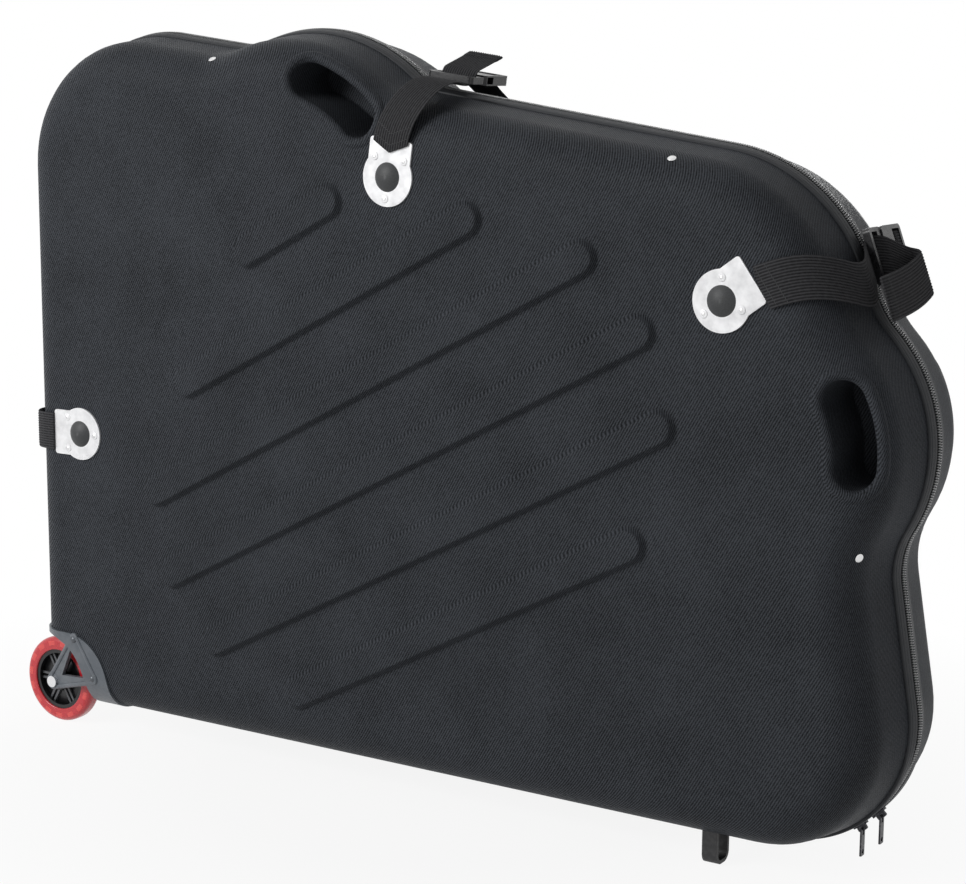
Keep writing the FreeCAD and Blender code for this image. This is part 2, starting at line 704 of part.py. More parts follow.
tyre = new_body("front_tyre")
tyre_half = size.tyre_width / 2
heel = size.tyre_round / 4
tyre_profile = tangent_run([(-tyre_half + heel, size.rim_radius + heel, heel),
                            (tyre_half - heel, size.rim_radius + heel, heel),
                            (tyre_half - size.tyre_round, size.wheel_radius - size.tyre_round, size.tyre_round),
                            (-tyre_half + size.tyre_round, size.wheel_radius - size.tyre_round, size.tyre_round)])
add_revolution(tyre, add_sketch(tyre, tyre_profile, "YZ_Plane"))
tyre.Placement = wheel_place
both_shells("tyre", tyre)

hub = new_body("front_hub")
boss = rectangle(-tyre_half, size.bearing_radius, tyre_half, size.boss_radius)
add_revolution(hub, add_sketch(hub, boss, "YZ_Plane"))
spokes = []
for side in (-1, 1):
    middle = side * size.spoke_gap / 2
    spokes += rectangle((size.boss_radius + size.bearing_radius) / 2, middle - size.spoke_width / 2,
                        size.rim_radius - size.rim_thickness / 2, middle + size.spoke_width / 2)
spoke_pad = add_pad(hub, add_sketch(hub, spokes, "XZ_Plane"), "sizes.spoke_depth", middle=True)
ring = hub.newObject("PartDesign::PolarPattern", "front_hub_spokes")
ring.Originals = [spoke_pad]
ring.Axis = (next(item for item in hub.Origin.OriginFeatures if item.Role == "Y_Axis"), [""])
ring.Angle = 360
ring.Occurrences = spoke_pairs
hub.Tip = ring
doc.recompute()
rim = rectangle(-size.rim_width / 2, size.rim_radius - size.rim_thickness, size.rim_width / 2, size.rim_radius)
add_revolution(hub, add_sketch(hub, rim, "YZ_Plane"))
hub.Placement = wheel_place
both_shells("hub", hub)

bearings = []
for side in (-1, 1):
    bearing = new_body("front_bearing_%s" % ("outer" if side < 0 else "inner"))
    middle = side * (tyre_half - size.bearing_width / 2)
    ring_profile = rectangle(middle - size.bearing_width / 2, size.axle_radius + size.axle_play,
                             middle + size.bearing_width / 2, size.bearing_radius)
    add_revolution(bearing, add_sketch(bearing, ring_profile, "YZ_Plane"))
    bearing.Placement = wheel_place
    bearings.append(bearing)
both_shells("bearings", group("front_bearings", bearings))

arm_near = tyre_half + size.wheel_side_play
arm_far = arm_near + size.arm_thickness
axle = new_body("front_axle_bolt")
axle_steps = [V(-arm_far - size.bolt_head_height, 0, 0), V(-arm_far - size.bolt_head_height, size.bolt_head_radius, 0),
              V(-arm_far, size.bolt_head_radius, 0), V(-arm_far, size.axle_radius, 0),
              V(arm_far, size.axle_radius, 0), V(arm_far, size.bolt_head_radius, 0),
              V(arm_far + size.bolt_head_height, size.bolt_head_radius, 0), V(arm_far + size.bolt_head_height, 0, 0)]
axle_profile = [Part.LineSegment(axle_steps[i - 1], axle_steps[i]) for i in range(len(axle_steps))]
add_revolution(axle, add_sketch(axle, axle_profile, "YZ_Plane"))
axle.Placement = wheel_place
both_shells("axle_bolt", axle)


def prism(name, curves, near_cells, length_cells):
    """Upright outline padded along the axle, starting at a distance in front of the zip plane."""
    body = new_body(name)
    add_pad(body, add_sketch(body, curves, height=near_cells), length_cells)
    return body


skin = shell_form("bracket_skin", size.bracket_wall, " + sizes.bracket_wall")
wheel_well(skin, -size.bracket_wall)
flange = prism("bracket_flange", bracket_outline(), "sizes.zip_half + sizes.binding_width + sizes.hinge_gap",
               "sizes.shell_depth + sizes.overrun")
cap = boolean("Common", "bracket_cap", skin, flange)

upper = polar(size.arm_reach, size.arm_upper_angle)
lower = polar(size.arm_reach, size.arm_lower_angle)
arm_rounds = [(wheel_x, wheel_z, size.arm_boss_radius),
              (wheel_x + lower[0], wheel_z + lower[1], size.arm_corner_radius),
              (wheel_x + upper[0], wheel_z + upper[1], size.arm_corner_radius)]
arm_curves = tangent_run(arm_rounds) + circle_at(wheel_x, wheel_z, size.axle_radius + size.axle_play)
window_reach = polar(2 * size.arm_boss_radius, (size.arm_upper_angle + size.arm_lower_angle) / 2)
window_rounds = [(wheel_x + window_reach[0], wheel_z + window_reach[1], size.arm_corner_radius),
                 arm_rounds[1], arm_rounds[2]]
arm_middle = (size.arm_upper_angle + size.arm_lower_angle) / 2
arm_blank = prism("bracket_arm_blank", arm_curves + tangent_run(window_rounds, -size.arm_band),
                  wheel_cells + " + sizes.tyre_width / 2 + sizes.wheel_side_play", wheel_cells)
slab = doc.addObject("Part::Box", "bracket_arm_slab")
for edge_name in ("Length", "Width"):
    slab.setExpression(edge_name, "4 * sizes.arm_reach")
slab.setExpression("Height", "sizes.arm_thickness")
slab_turn = FreeCAD.Rotation(V(0, 1, 0), -arm_middle).multiply(FreeCAD.Rotation(V(0, 0, 1), -size.arm_tilt))
slab_turn = slab_turn.multiply(FreeCAD.Rotation(V(1, 0, 0), 90))
slab_corner = slab_turn.multVec(V(-2 * size.arm_reach, -2 * size.arm_reach, -size.arm_thickness))
pivot_x, pivot_z = polar(size.bolt_head_radius + size.free_play, arm_middle)
pivot = V(wheel_x + pivot_x, -wheel_setback - arm_far, wheel_z + pivot_z)
slab.Placement = FreeCAD.Placement(pivot + slab_corner, slab_turn)
doc.recompute()
outer_arm = boolean("Common", "bracket_outer_arm", arm_blank, slab)
arm_boss = circle_at(wheel_x, wheel_z, size.arm_boss_radius) + circle_at(wheel_x, wheel_z,
                                                                         size.axle_radius + size.axle_play)
outer_boss = prism("bracket_outer_boss", arm_boss, wheel_cells + " + sizes.tyre_width / 2 + sizes.wheel_side_play",
                   "sizes.arm_thickness")
inner_arm = prism("bracket_inner_arm", arm_curves,
                  wheel_cells + " - sizes.tyre_width / 2 - sizes.wheel_side_play - sizes.arm_thickness",
                  "sizes.arm_thickness")
joined = fusion("bracket_joined", [cap, outer_arm, outer_boss, inner_arm])
both_shells("wheel_bracket", boolean("Cut", "front_wheel_bracket", joined, plain))

# Feet at the grip end

foot = new_body("foot_band")
foot_low = -foot_offset - size.foot_width / 2
foot_high = -foot_offset + size.foot_width / 2
foot_top = bottom_edge + size.overrun
foot_rounds = [(foot_low + size.foot_round, size.foot_round, size.foot_round),
               (foot_high - size.foot_round, size.foot_round, size.foot_round),
               (foot_high - size.foot_round, foot_top, size.foot_round),
               (foot_low + size.foot_round, foot_top, size.foot_round)]
foot.Placement = FreeCAD.Placement(V(outermost - size.foot_setback, 0, 0), FreeCAD.Rotation())
add_pad(foot, add_sketch(foot, tangent_run(foot_rounds) + tangent_run(foot_rounds, -size.foot_band), "YZ_Plane"),
        "sizes.foot_length", middle=True)
both_shells("foot", boolean("Cut", "front_foot", foot, plain))

# Heads of screws and rivets that stand on the faces

def on_face(x, z, rise=0.0):
    """Placement on the flat face of the front shell, at a rise above it."""
    return FreeCAD.Placement(V(x, -size.shell_depth - rise, z), FreeCAD.Rotation())


edge_centre = -(size.edge_radius + (size.shell_depth - size.edge_radius - size.zip_half - size.binding_width)
                * math.sin(math.radians(size.draft))) / math.cos(math.radians(size.draft))


def on_edge(frame, angle, rise=0.0):
    """Placement on the rounded edge beside an outline frame, turned by an angle from outwards to the front."""
    reach = polar(size.edge_radius + rise, -angle)
    spot = V(edge_centre + reach[0], -(size.shell_depth - size.edge_radius) + reach[1], 0)
    return frame.multiply(FreeCAD.Placement(spot, FreeCAD.Rotation(V(0, 0, 1), 90 - angle)))


def beyond_lobe(name, angle):
    """Frame where a ray from a lobe's centre meets the outline, square to the outline there."""
    x, z, radius = ROUNDS[name]
    meet, normal = first_crossing(x, z, angle)
    return outline_frame(meet.x, meet.y, normal)


eyelet_tilt = 31
eyelet_places = (beyond_lobe("top_grip", 116), beyond_lobe("shoulder", 91), beyond_lobe("side_grip", -37))
eyelets = [button("front_eyelet_%d" % number, size.eyelet_radius, size.eyelet_height, on_edge(place, eyelet_tilt, size.free_play))
           for number, place in enumerate(eyelet_places, start=1)]
both_shells("eyelets", group("front_eyelets", eyelets))

arm_rise = size.arm_reach * math.tan(math.radians(size.arm_tilt))
bracket_screws = []
for number, (x, z, radius) in enumerate(arm_rounds[1:], start=1):
    bracket_screws.append(button("front_bracket_screw_%d" % number, size.screw_radius, size.screw_height,
                                 on_face(x, z, arm_far - size.wheel_inset + arm_rise)))
both_shells("bracket_screws", group("front_bracket_screws", bracket_screws))


# Strap plates, webbing and buckles

def strap(name, start_x, start_z, angle, dip, tail_rise, turn):
    """One strap: plates, webbing and buckle halves; the dip is the outline's hollow under the buckle."""
    meet, normal = first_crossing(start_x, start_z, angle)
    frame = outline_frame(meet.x, meet.y, angle)
    half_turn = FreeCAD.Placement(V(0, 0, 0), FreeCAD.Rotation(V(1, 0, 0), 180))
    back_frame = frame.multiply(half_turn)
    inset = meet.distanceToPoint(V(start_x, start_z, 0))

    def plate(side, place):
        body = new_body("%s_%s_plate" % (side, name))
        add_pad(body, add_sketch(body, circle_at(0, 0, size.plate_radius), height="sizes.shell_depth"),
                "sizes.plate_thickness")
        tab = rounded_rectangle(0, -size.plate_width / 2, size.plate_reach, size.plate_width / 2, size.plate_corner)
        add_pad(body, add_sketch(body, tab, height="sizes.shell_depth"), "sizes.plate_thickness")
        body.Placement = place
        sub_part("%s_%s_plate" % (side, name), body)

    half = size.webbing_thickness / 2
    low = size.buckle_low + dip
    bar_out = low + size.buckle_thickness / 2 - size.bar_drop
    face = -size.shell_depth - size.plate_thickness - half
    turn_in = (edge_centre + size.webbing_lift + dip / 2, -(size.shell_depth - size.edge_radius),
               size.edge_radius + size.plate_thickness + half)
    turn_out = size.buckle_bar_radius + size.free_play + half

    def webbing(side, place, bar_back, end):
        body = new_body("%s_%s_webbing" % (side, name))
        rounds = [(-inset + size.plate_reach - size.webbing_overlap, face, 0), turn_in,
                  (bar_out, -bar_back, -turn_out), (end[0], end[1], 0)]
        right, left = tangent_run(rounds, half, closed=False), tangent_run(rounds, -half, closed=False)
        caps = [Part.LineSegment(right[0].StartPoint, left[0].StartPoint),
                Part.LineSegment(right[-1].EndPoint, left[-1].EndPoint)]
        add_pad(body, add_sketch(body, right + left + caps, "XY_Plane"), "sizes.webbing_width", middle=True)
        body.Placement = place
        sub_part("%s_%s_webbing" % (side, name), body)

    def frame_window(body, near, far):
        """Window of a webbing frame and the bar across it; returns the bar's place."""
        inner = size.buckle_width / 2 - size.buckle_rail
        hole = rectangle(min(near, far), -inner, max(near, far), inner)
        bar_place = near + (far - near) * buckle_bar_share
        height = "%f + sizes.buckle_thickness + sizes.overrun" % low
        add_pocket(body, add_sketch(body, hole, "YZ_Plane", height), "sizes.buckle_thickness + sizes.overrun + sizes.overrun")
        bar = circle_at(bar_out, bar_place, size.buckle_bar_radius)
        add_pad(body, add_sketch(body, bar, "XY_Plane"), "sizes.buckle_width - sizes.buckle_rail", middle=True)
        return bar_place

    wide = size.buckle_width / 2
    mouth = size.buckle_mouth
    shoulder = mouth - 2 * size.free_play
    far = shoulder - size.buckle_frame

    male = new_body("front_%s_buckle" % name)
    outline = rounded_rectangle(far, -wide, shoulder, wide, size.buckle_rail)
    add_pad(male, add_sketch(male, outline, "YZ_Plane", "%f + sizes.buckle_wall" % low),
            "sizes.buckle_thickness - sizes.buckle_wall - sizes.buckle_wall")
    front_bar = frame_window(male, shoulder - 2 * size.buckle_rail, far + size.buckle_rail)
    inner = wide - size.buckle_rail - size.prong_play
    prongs = []
    for side in (-1, 1):
        edges = sorted((side * inner, side * (inner - size.prong_width)))
        prongs += rounded_rectangle(shoulder - size.buckle_rail, edges[0], shoulder + size.prong_length, edges[1],
                                    size.prong_width / 4)
    tongue = size.prong_width / 2
    prongs += rounded_rectangle(shoulder - size.buckle_rail, -tongue, shoulder + size.prong_length - size.buckle_rail,
                                tongue, size.prong_width / 4)
    add_pad(male, add_sketch(male, prongs, "YZ_Plane", "%f + sizes.buckle_thickness / 2 - sizes.prong_thickness / 2"
                             % low), "sizes.prong_thickness")
    male.Placement = frame
    sub_part("front_%s_buckle" % name, male)

    female = new_body("back_%s_buckle" % name)
    neck = mouth + size.buckle_socket
    end = neck + size.buckle_frame - size.buckle_rail
    outline = rounded_rectangle(mouth, -wide, end, wide, size.buckle_rail)
    add_pad(female, add_sketch(female, outline, "YZ_Plane", "%f" % low), "sizes.buckle_thickness")
    socket = rectangle(low + size.buckle_wall, -wide + size.buckle_rail, low + size.buckle_thickness - size.buckle_wall,
                       wide - size.buckle_rail)
    add_pocket(female, add_sketch(female, socket, "XZ_Plane", "sizes.overrun - sizes.buckle_mouth"),
               "sizes.overrun + sizes.buckle_socket - sizes.buckle_rail")
    press = rounded_rectangle(mouth + size.buckle_rail, -wide - size.overrun, neck - 2 * size.buckle_rail,
                              wide + size.overrun, size.prong_play)
    press_low = "%f + sizes.buckle_thickness - sizes.buckle_wall" % low
    add_pocket(female, add_sketch(female, press, "YZ_Plane", press_low),
               "sizes.buckle_thickness - sizes.buckle_wall - sizes.buckle_wall")
    back_bar = frame_window(female, neck, end - size.buckle_rail)
    female.Placement = frame
    sub_part("back_%s_buckle" % name, female)

    plate_frame = outline_frame(start_x, start_z, angle + turn)
    plate("front", plate_frame)
    plate("back", plate_frame.multiply(half_turn))
    webbing("front", frame, -front_bar, (dip + tail_rise, front_bar + size.tail_lean * tail_rise / size.tail_rise))
    webbing("back", back_frame, back_bar, (bar_out + turn_out, -end + size.buckle_rail + 2 * half))
    heads = []
    beside_webbing = (size.plate_reach - size.webbing_overlap - 2 * size.rivet_radius - size.free_play
                      - size.webbing_width / 2 * math.sin(math.radians(turn)))
    for along, aside in ((beside_webbing, size.plate_width / 2 - size.rivet_setback),
                         (beside_webbing, -size.plate_width / 2 + size.rivet_setback),
                         (-size.plate_radius + size.rivet_setback, 0)):
        spot = plate_frame.multVec(V(along, 0, aside))
        heads.append(button("front_%s_rivet" % name, size.rivet_radius, size.rivet_height,
                            on_face(spot.x, spot.z, size.plate_thickness)))
    dome = button("front_%s_dome" % name, size.dome_radius, size.dome_height,
                  on_face(start_x, start_z, size.plate_thickness))
    return dome, heads


waist_dip = size.waist_radius - math.sqrt(size.waist_radius ** 2 - (size.buckle_width / 2) ** 2)
shoulder_x, shoulder_z, shoulder_radius = ROUNDS["shoulder"]
shoulder_end = math.atan2(ROUNDS["upper_waist"][1] - shoulder_z, ROUNDS["upper_waist"][0] - shoulder_x)
side_place = math.degrees(shoulder_end) + size.side_strap_step
side_angle = side_place - size.side_strap_lean
side_meet, side_run = polar(shoulder_radius, side_place), polar(size.side_plate_inset, side_angle)
rear_plate = (rear_wall + size.rear_plate_inset, bottom_edge + size.shell_height * rear_plate_height_share)
straps = (strap("top", top_plate[0], top_plate[1], size.top_strap_angle, waist_dip, size.tail_rise, 0.0),
          strap("side", shoulder_x + side_meet[0] - side_run[0], shoulder_z + side_meet[1] - side_run[1], side_angle,
                0.0, size.tail_rise, size.side_plate_turn),
          strap("rear", rear_plate[0], rear_plate[1], size.rear_strap_angle, 0.0, size.rear_tail_rise, 0.0))
both_shells("strap_domes", group("front_strap_domes", [dome for dome, heads in straps]))
both_shells("strap_rivets", group("front_strap_rivets", [head for dome, heads in straps for head in heads]))

# Tie straps sewn to the floor of the back shell

for number, share in enumerate(tie_place_shares, start=1):
    tie = new_body("tie_strap_%d" % number)
    x = rear_wall + size.shell_length * share
    low = bottom_edge + size.shell_height * tie_height_share - size.tie_length / 2
    high = low + size.tie_length
    half = size.tie_width / 2
    add_pad(tie, add_sketch(tie, rectangle(x - half, low, x + half, high),
                            height="-(sizes.shell_depth - sizes.wall)"), "sizes.tie_thickness")
    patches = rectangle(x - half, low, x + half, low + size.tie_patch)
    patches += rectangle(x - half, high - size.tie_patch, x + half, high)
    add_pad(tie, add_sketch(tie, patches, height="-(sizes.shell_depth - sizes.wall - sizes.tie_thickness)"),
            "sizes.tie_thickness")
    sub_part("tie_strap_%d" % number, tie)

# Write every sub-part after a last look at the document

doc.recompute()
for thing in doc.Objects:
    if "Invalid" in thing.State or "Error" in thing.State:
        raise RuntimeError("%s is not valid" % thing.Name)
os.makedirs("parts", exist_ok=True)
for name, thing in NODES.items():
    if thing.Shape.isNull() or not thing.Shape.isValid():
        raise RuntimeError("%s has no valid shape" % name)
    thing.Shape.exportStep("parts/%s.step" % name)
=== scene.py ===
import math

import bpy
import numpy as np
from mathutils import Matrix, Vector


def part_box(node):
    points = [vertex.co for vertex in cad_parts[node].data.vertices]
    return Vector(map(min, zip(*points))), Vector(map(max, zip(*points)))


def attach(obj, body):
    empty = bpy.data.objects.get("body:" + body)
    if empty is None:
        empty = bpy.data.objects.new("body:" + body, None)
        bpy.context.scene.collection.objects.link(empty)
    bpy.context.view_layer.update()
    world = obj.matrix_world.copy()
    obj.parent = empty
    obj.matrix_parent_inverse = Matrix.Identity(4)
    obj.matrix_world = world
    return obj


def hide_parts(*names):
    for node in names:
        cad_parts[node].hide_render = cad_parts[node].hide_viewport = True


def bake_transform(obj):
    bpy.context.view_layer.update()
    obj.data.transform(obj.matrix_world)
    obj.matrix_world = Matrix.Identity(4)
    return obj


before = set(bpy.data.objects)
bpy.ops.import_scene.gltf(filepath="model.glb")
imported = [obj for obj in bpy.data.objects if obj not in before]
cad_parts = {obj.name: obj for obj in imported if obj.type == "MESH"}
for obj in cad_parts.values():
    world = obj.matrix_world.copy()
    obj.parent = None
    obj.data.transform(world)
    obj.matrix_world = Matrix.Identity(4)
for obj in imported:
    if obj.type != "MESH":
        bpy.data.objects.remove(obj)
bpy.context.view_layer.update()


# Shells: two moulded plastic halves with cloth bonded over them, ribbed on the faces and hollowed under
# the grips. The cloth is a fine charcoal twill that catches light on the rounded edges.

def finish(name, colour, roughness, **sockets):
    """A material with one Principled shader and its plain values set on the shader's own sockets."""
    material = bpy.data.materials.new(name)
    material.use_nodes = True
    shader = material.node_tree.nodes["Principled BSDF"]
    shader.inputs["Base Color"].default_value = (*colour, 1.0)
    shader.inputs["Roughness"].default_value = roughness
    for socket, value in sockets.items():
        shader.inputs[socket.replace("_", " ")].default_value = value
    return material


def node(material, kind, inputs=None, **settings):
    """Add one node: settings are its properties, and inputs its sockets, each a value or another node's output."""
    made = material.node_tree.nodes.new("ShaderNode" + kind)
    for key, value in settings.items():
        setattr(made, key, value)
    for key, value in (inputs or {}).items():
        if isinstance(value, bpy.types.NodeSocket):
            material.node_tree.links.new(value, made.inputs[key])
        else:
            made.inputs[key].default_value = value
    return made


def feed(material, socket, output):
    """Lead an output into a socket of the material's Principled shader."""
    shader = material.node_tree.nodes["Principled BSDF"]
    material.node_tree.links.new(output, shader.inputs[socket])


def where(material):
    """Place on the piece, in the case's own frame."""
    return node(material, "TexCoord").outputs["Object"]


def maths(material, operation, first, second=0.0, third=0.0):
    """Result of one sum on up to three numbers or outputs."""
    return node(material, "Math", {0: first, 1: second, 2: third}, operation=operation).outputs[0]


def along(material, place, direction):
    """Distance of a place along a direction, which is also the number of waves where it is a wave vector."""
    return node(material, "VectorMath", {0: place, 1: direction}, operation="DOT_PRODUCT").outputs["Value"]


def noise(material, place, scale, detail=3.0):
    """Even grey noise from 0 to 1 at a number of spots per metre."""
    made = node(material, "TexNoise", {"Vector": place, "Scale": scale, "Detail": detail, "Roughness": 0.6})
    return made.outputs["Fac"]


def shades(material, share, dark, light):
    """Colour between two shades by a share from 0 to 1."""
    mixed = node(material, "Mix", {0: share, 6: (*dark, 1.0), 7: (*light, 1.0)}, data_type="RGBA")
    return mixed.outputs[2]


def ranged(material, value, low, high, new_low, new_high):
    """A value carried from one range to another and held within it."""
    made = node(material, "MapRange", {0: value, 1: low, 2: high, 3: new_low, 4: new_high})
    return made.outputs[0]


def bump(material, height, depth, soft_edges=0.0):
    """Relief of a depth in metres from a height of 0 to 1, on edges that look rounded by a radius."""
    made = node(material, "Bump", {"Height": height, "Distance": depth, "Strength": 1.0})
    if soft_edges:
        rounded = node(material, "Bevel", {"Radius": soft_edges}, samples=4).outputs["Normal"]
        material.node_tree.links.new(rounded, made.inputs["Normal"])
    feed(material, "Normal", made.outputs["Normal"])


def waves(material, place, pitch, direction):
    """Sine from -1 to 1 along a direction, one wave for each pitch in metres."""
    scale = 2 * math.pi / pitch
    return maths(material, "SINE", along(material, place, tuple(scale * part for part in direction)))


twill_pitch = 0.0031
weft_pitch = twill_pitch * 1.3
twill_depth = 0.00036
cloth_edge = 0.006
warp_way, warp_facing = (0.87, 0.9, -0.5), (0.645, 0.668, -0.371)
weft_way = (0.5, -0.4, 0.87)
end_on_start, end_on_full = 0.945, 0.985
cloud_scale, fuzz_scale = 9.0, 420.0
cloud_share, fuzz_share = 0.10, 0.22
twill_dark, twill_light = (0.0040, 0.0045, 0.0055), (0.0830, 0.0900, 0.1030)

shell_twill = finish("shell_twill", twill_light, 0.5, Sheen_Weight=0.015, Sheen_Roughness=0.35,
                     Specular_IOR_Level=0.06)
spot = where(shell_twill)
warp = waves(shell_twill, spot, twill_pitch, warp_way)
weft = waves(shell_twill, spot, weft_pitch, weft_way)

# Where the warp's waves would run straight into the cloth, the weft shows alone.
outward = node(shell_twill, "TexCoord").outputs["Normal"]
end_on = maths(shell_twill, "ABSOLUTE", along(shell_twill, outward, warp_facing))
end_on = ranged(shell_twill, end_on, end_on_start, end_on_full, 0.0, 1.0)
floats = maths(shell_twill, "MULTIPLY", warp, ranged(shell_twill, weft, -1.0, 1.0, 0.45, 1.0))
floats = node(shell_twill, "Mix", {0: end_on, 2: floats, 3: weft}).outputs[0]
weave = ranged(shell_twill, floats, -1.0, 1.0, 0.0, 1.0)
cloudy = ranged(shell_twill, noise(shell_twill, spot, cloud_scale), 0.3, 0.7, -cloud_share, cloud_share)
fuzz = ranged(shell_twill, noise(shell_twill, spot, fuzz_scale), 0.3, 0.7, -fuzz_share, fuzz_share)
tone = maths(shell_twill, "ADD", maths(shell_twill, "ADD", weave, cloudy), fuzz)
feed(shell_twill, "Base Color", shades(shell_twill, tone, twill_dark, twill_light))
feed(shell_twill, "Roughness", ranged(shell_twill, cloudy, -cloud_share, cloud_share, 0.46, 0.58))
bump(shell_twill, maths(shell_twill, "ADD", weave, fuzz), twill_depth, cloth_edge)


def dress(material, *names):
    """Give CAD nodes a material."""
    for name in names:
        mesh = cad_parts[name].data
        mesh.materials.clear()
        mesh.materials.append(material)


dress(shell_twill, "front_shell", "back_shell")


# Edge bindings: a satin rubber strip glued round the lip of each shell, with a bead towards the shell
# and one sewn line along its middle. It stops at the wheel well.

# Rounds of the case's outline (x, z, radius), anticlockwise from the wheel corner. Hollow ones are negative.
edge_rounds = np.array([
    (-0.509500, 0.130000, 0.100), (0.480500, 0.180000, 0.150), (0.703961, 0.356475, -0.100),
    (0.459500, 0.493000, 0.180), (0.675419, 0.701276, -0.120), (0.363500, 0.610000, 0.205),
    (0.021956, 0.969444, -0.100), (-0.187500, 0.708000, 0.235), (-0.299139, 1.023851, -0.100),
    (-0.439500, 0.770000, 0.170)])


def run_parts(rounds, closed):
    """Arcs and straights that run tangent to a row of rounds (x, z, radius), anticlockwise.

    A straight's heading is the direction between two centres, turned by the arcsine of the difference of
    their radii over the distance. Returns the headings, the first headings of the arcs, and all lengths.
    """
    centre, radius = rounds[:, :2], rounds[:, 2]
    ahead = np.roll(centre, -1, 0) - centre
    reach = np.hypot(ahead[:, 0], ahead[:, 1])
    fall = radius - np.roll(radius, -1)
    if not closed:
        reach[-1], fall[-1] = 1.0, 0.0
    heading = np.arctan2(ahead[:, 1], ahead[:, 0]) + np.arcsin(np.clip(fall / reach, -1.0, 1.0))
    if not closed:
        heading[-1] = heading[-2]
    first = np.roll(heading, 1)
    if not closed:
        first[0] = heading[0]
    turn = (heading - first + np.pi) % (2 * np.pi) - np.pi
    straight = np.sqrt(np.maximum(reach ** 2 - fall ** 2, 0.0))
    if not closed:
        straight[-1] = 0.0
    lengths = np.stack([np.abs(radius * turn), straight], 1).ravel()
    return heading, first, lengths


def run_length(rounds, closed=True):
    """Whole length of a tangent run."""
    return run_parts(rounds, closed)[2].sum()


def run_at(rounds, places, closed=True):
    """Points and outward normals at distances along a tangent run, for an array of any shape.

    On an arc the heading is its first heading plus the distance over the radius. A point is the round's
    centre plus the radius times the normal, and on a straight also the distance times the heading.
    """
    heading, first, lengths = run_parts(rounds, closed)
    ends = np.cumsum(lengths)
    part = np.minimum(np.searchsorted(ends, places, side="right"), len(lengths) - 1)
    local = places - (ends - lengths)[part]
    index, straight = part // 2, part % 2 == 1
    radius = rounds[index, 2]
    safe = np.where(radius == 0.0, 1.0, radius)
    angle = np.where(straight, heading[index], first[index] + np.where(straight, 0.0, local / safe))
    tangent = np.stack([np.cos(angle), np.sin(angle)], -1)
    normal = np.stack([np.sin(angle), -np.cos(angle)], -1)
    ahead = np.where(straight, local, 0.0)
    point = rounds[index, :2] + radius[..., None] * normal + ahead[..., None] * tangent
    return point, normal


def grid_faces(rows, columns, wrap_rows=False):
    """Four-sided faces between the neighbours of a grid of points, closed across it and, if asked, along it."""
    row, column = np.meshgrid(np.arange(rows - (not wrap_rows)), np.arange(columns), indexing="ij")
    next_row, next_column = (row + 1) % rows, (column + 1) % columns
    corners = [row * columns + column, row * columns + next_column, next_row * columns + next_column,
               next_row * columns + column]
    return np.stack(corners, -1).reshape(-1, 4)


def piece(name, points, faces, material, body, slot, **attributes):
    """A mesh object from points and faces that rides on a body; attributes are vectors kept for each point."""
    mesh = bpy.data.meshes.new(name)
    mesh.from_pydata(points.reshape(-1, 3).tolist(), [], faces)
    mesh.polygons.foreach_set("use_smooth", np.ones(len(mesh.polygons), bool))
    for key, values in attributes.items():
        layer = mesh.attributes.new(key, "FLOAT_VECTOR", "POINT")
        layer.data.foreach_set("vector", values.astype(np.float32).ravel())
    mesh.materials.append(material)
    mesh.validate()
    made = bpy.data.objects.new(name, mesh)
    bpy.context.scene.collection.objects.link(made)
    if body:
        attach(made, body)
    return made


def swept_faces(stations, around, flip=False):
    """Faces of a closed profile carried along an open run, with a cap at each end."""
    way = -1 if flip else 1
    first, last = np.arange(around)[::-1], np.arange((stations - 1) * around, stations * around)
    return [*grid_faces(stations, around)[:, ::way].tolist(), first[::way].tolist(), last[::way].tolist()]


def edge_sweep(places, profile):
    """Points of (outwards, towards +Y) pairs carried along the case's edge, one profile or one for each place.

    A point is the edge's point plus its normal times the first number, with the second one as Y.
    """
    point, normal = run_at(edge_rounds, places)
    profile = np.broadcast_to(profile, (len(places), *profile.shape[-2:]))
    flat = point[:, None, :] + normal[:, None, :] * profile[..., :1]
    return np.stack([flat[..., 0], profile[..., 1], flat[..., 1]], -1)


edge_length = run_length(edge_rounds)
bottom_start = 0.152
rear_end = edge_length - 0.001
edge_step = 0.004
binding_near, binding_far = 0.0055, 0.0209
binding_columns = 40
binding_proud, binding_edge, binding_under = 0.0040, 0.0004, -0.0003
crest_rise, lip_fall = 0.0018, 0.0012
crest_start, crest_end = 1.30, edge_length - 0.09
crest_run_in, crest_run_out = 0.08, 0.06
sewn_share, sewn_width, sewn_depth = 0.45, 0.022, 0.00045
bead_share, bead_width, bead_depth = 0.77, 0.030, 0.0009
halves = (("front", -1), ("back", 1))

binding_rubber = finish("binding_rubber", (0.030, 0.031, 0.034), 0.5, Specular_IOR_Level=0.2)
spot = where(binding_rubber)
grain = noise(binding_rubber, spot, 2200.0, 2.0)
rubbed = ranged(binding_rubber, noise(binding_rubber, spot, 35.0), 0.35, 0.75, 0.0, 1.0)
feed(binding_rubber, "Base Color", shades(binding_rubber, rubbed, (0.034, 0.036, 0.040), (0.060, 0.063, 0.068)))
feed(binding_rubber, "Roughness", ranged(binding_rubber, rubbed, 0.0, 1.0, 0.46, 0.60))
bump(binding_rubber, grain, 0.00012)


def smooth(share):
    """Smooth step of a share: three times its square less twice its cube."""
    share = np.clip(share, 0.0, 1.0)
    return share * share * (3 - 2 * share)


def crest(places):
    """Share of the ridge along the edge: none on the bottom and at the wheels, full where the zip runs."""
    return smooth((places - crest_start) / crest_run_in) * smooth((crest_end - places) / crest_run_out)


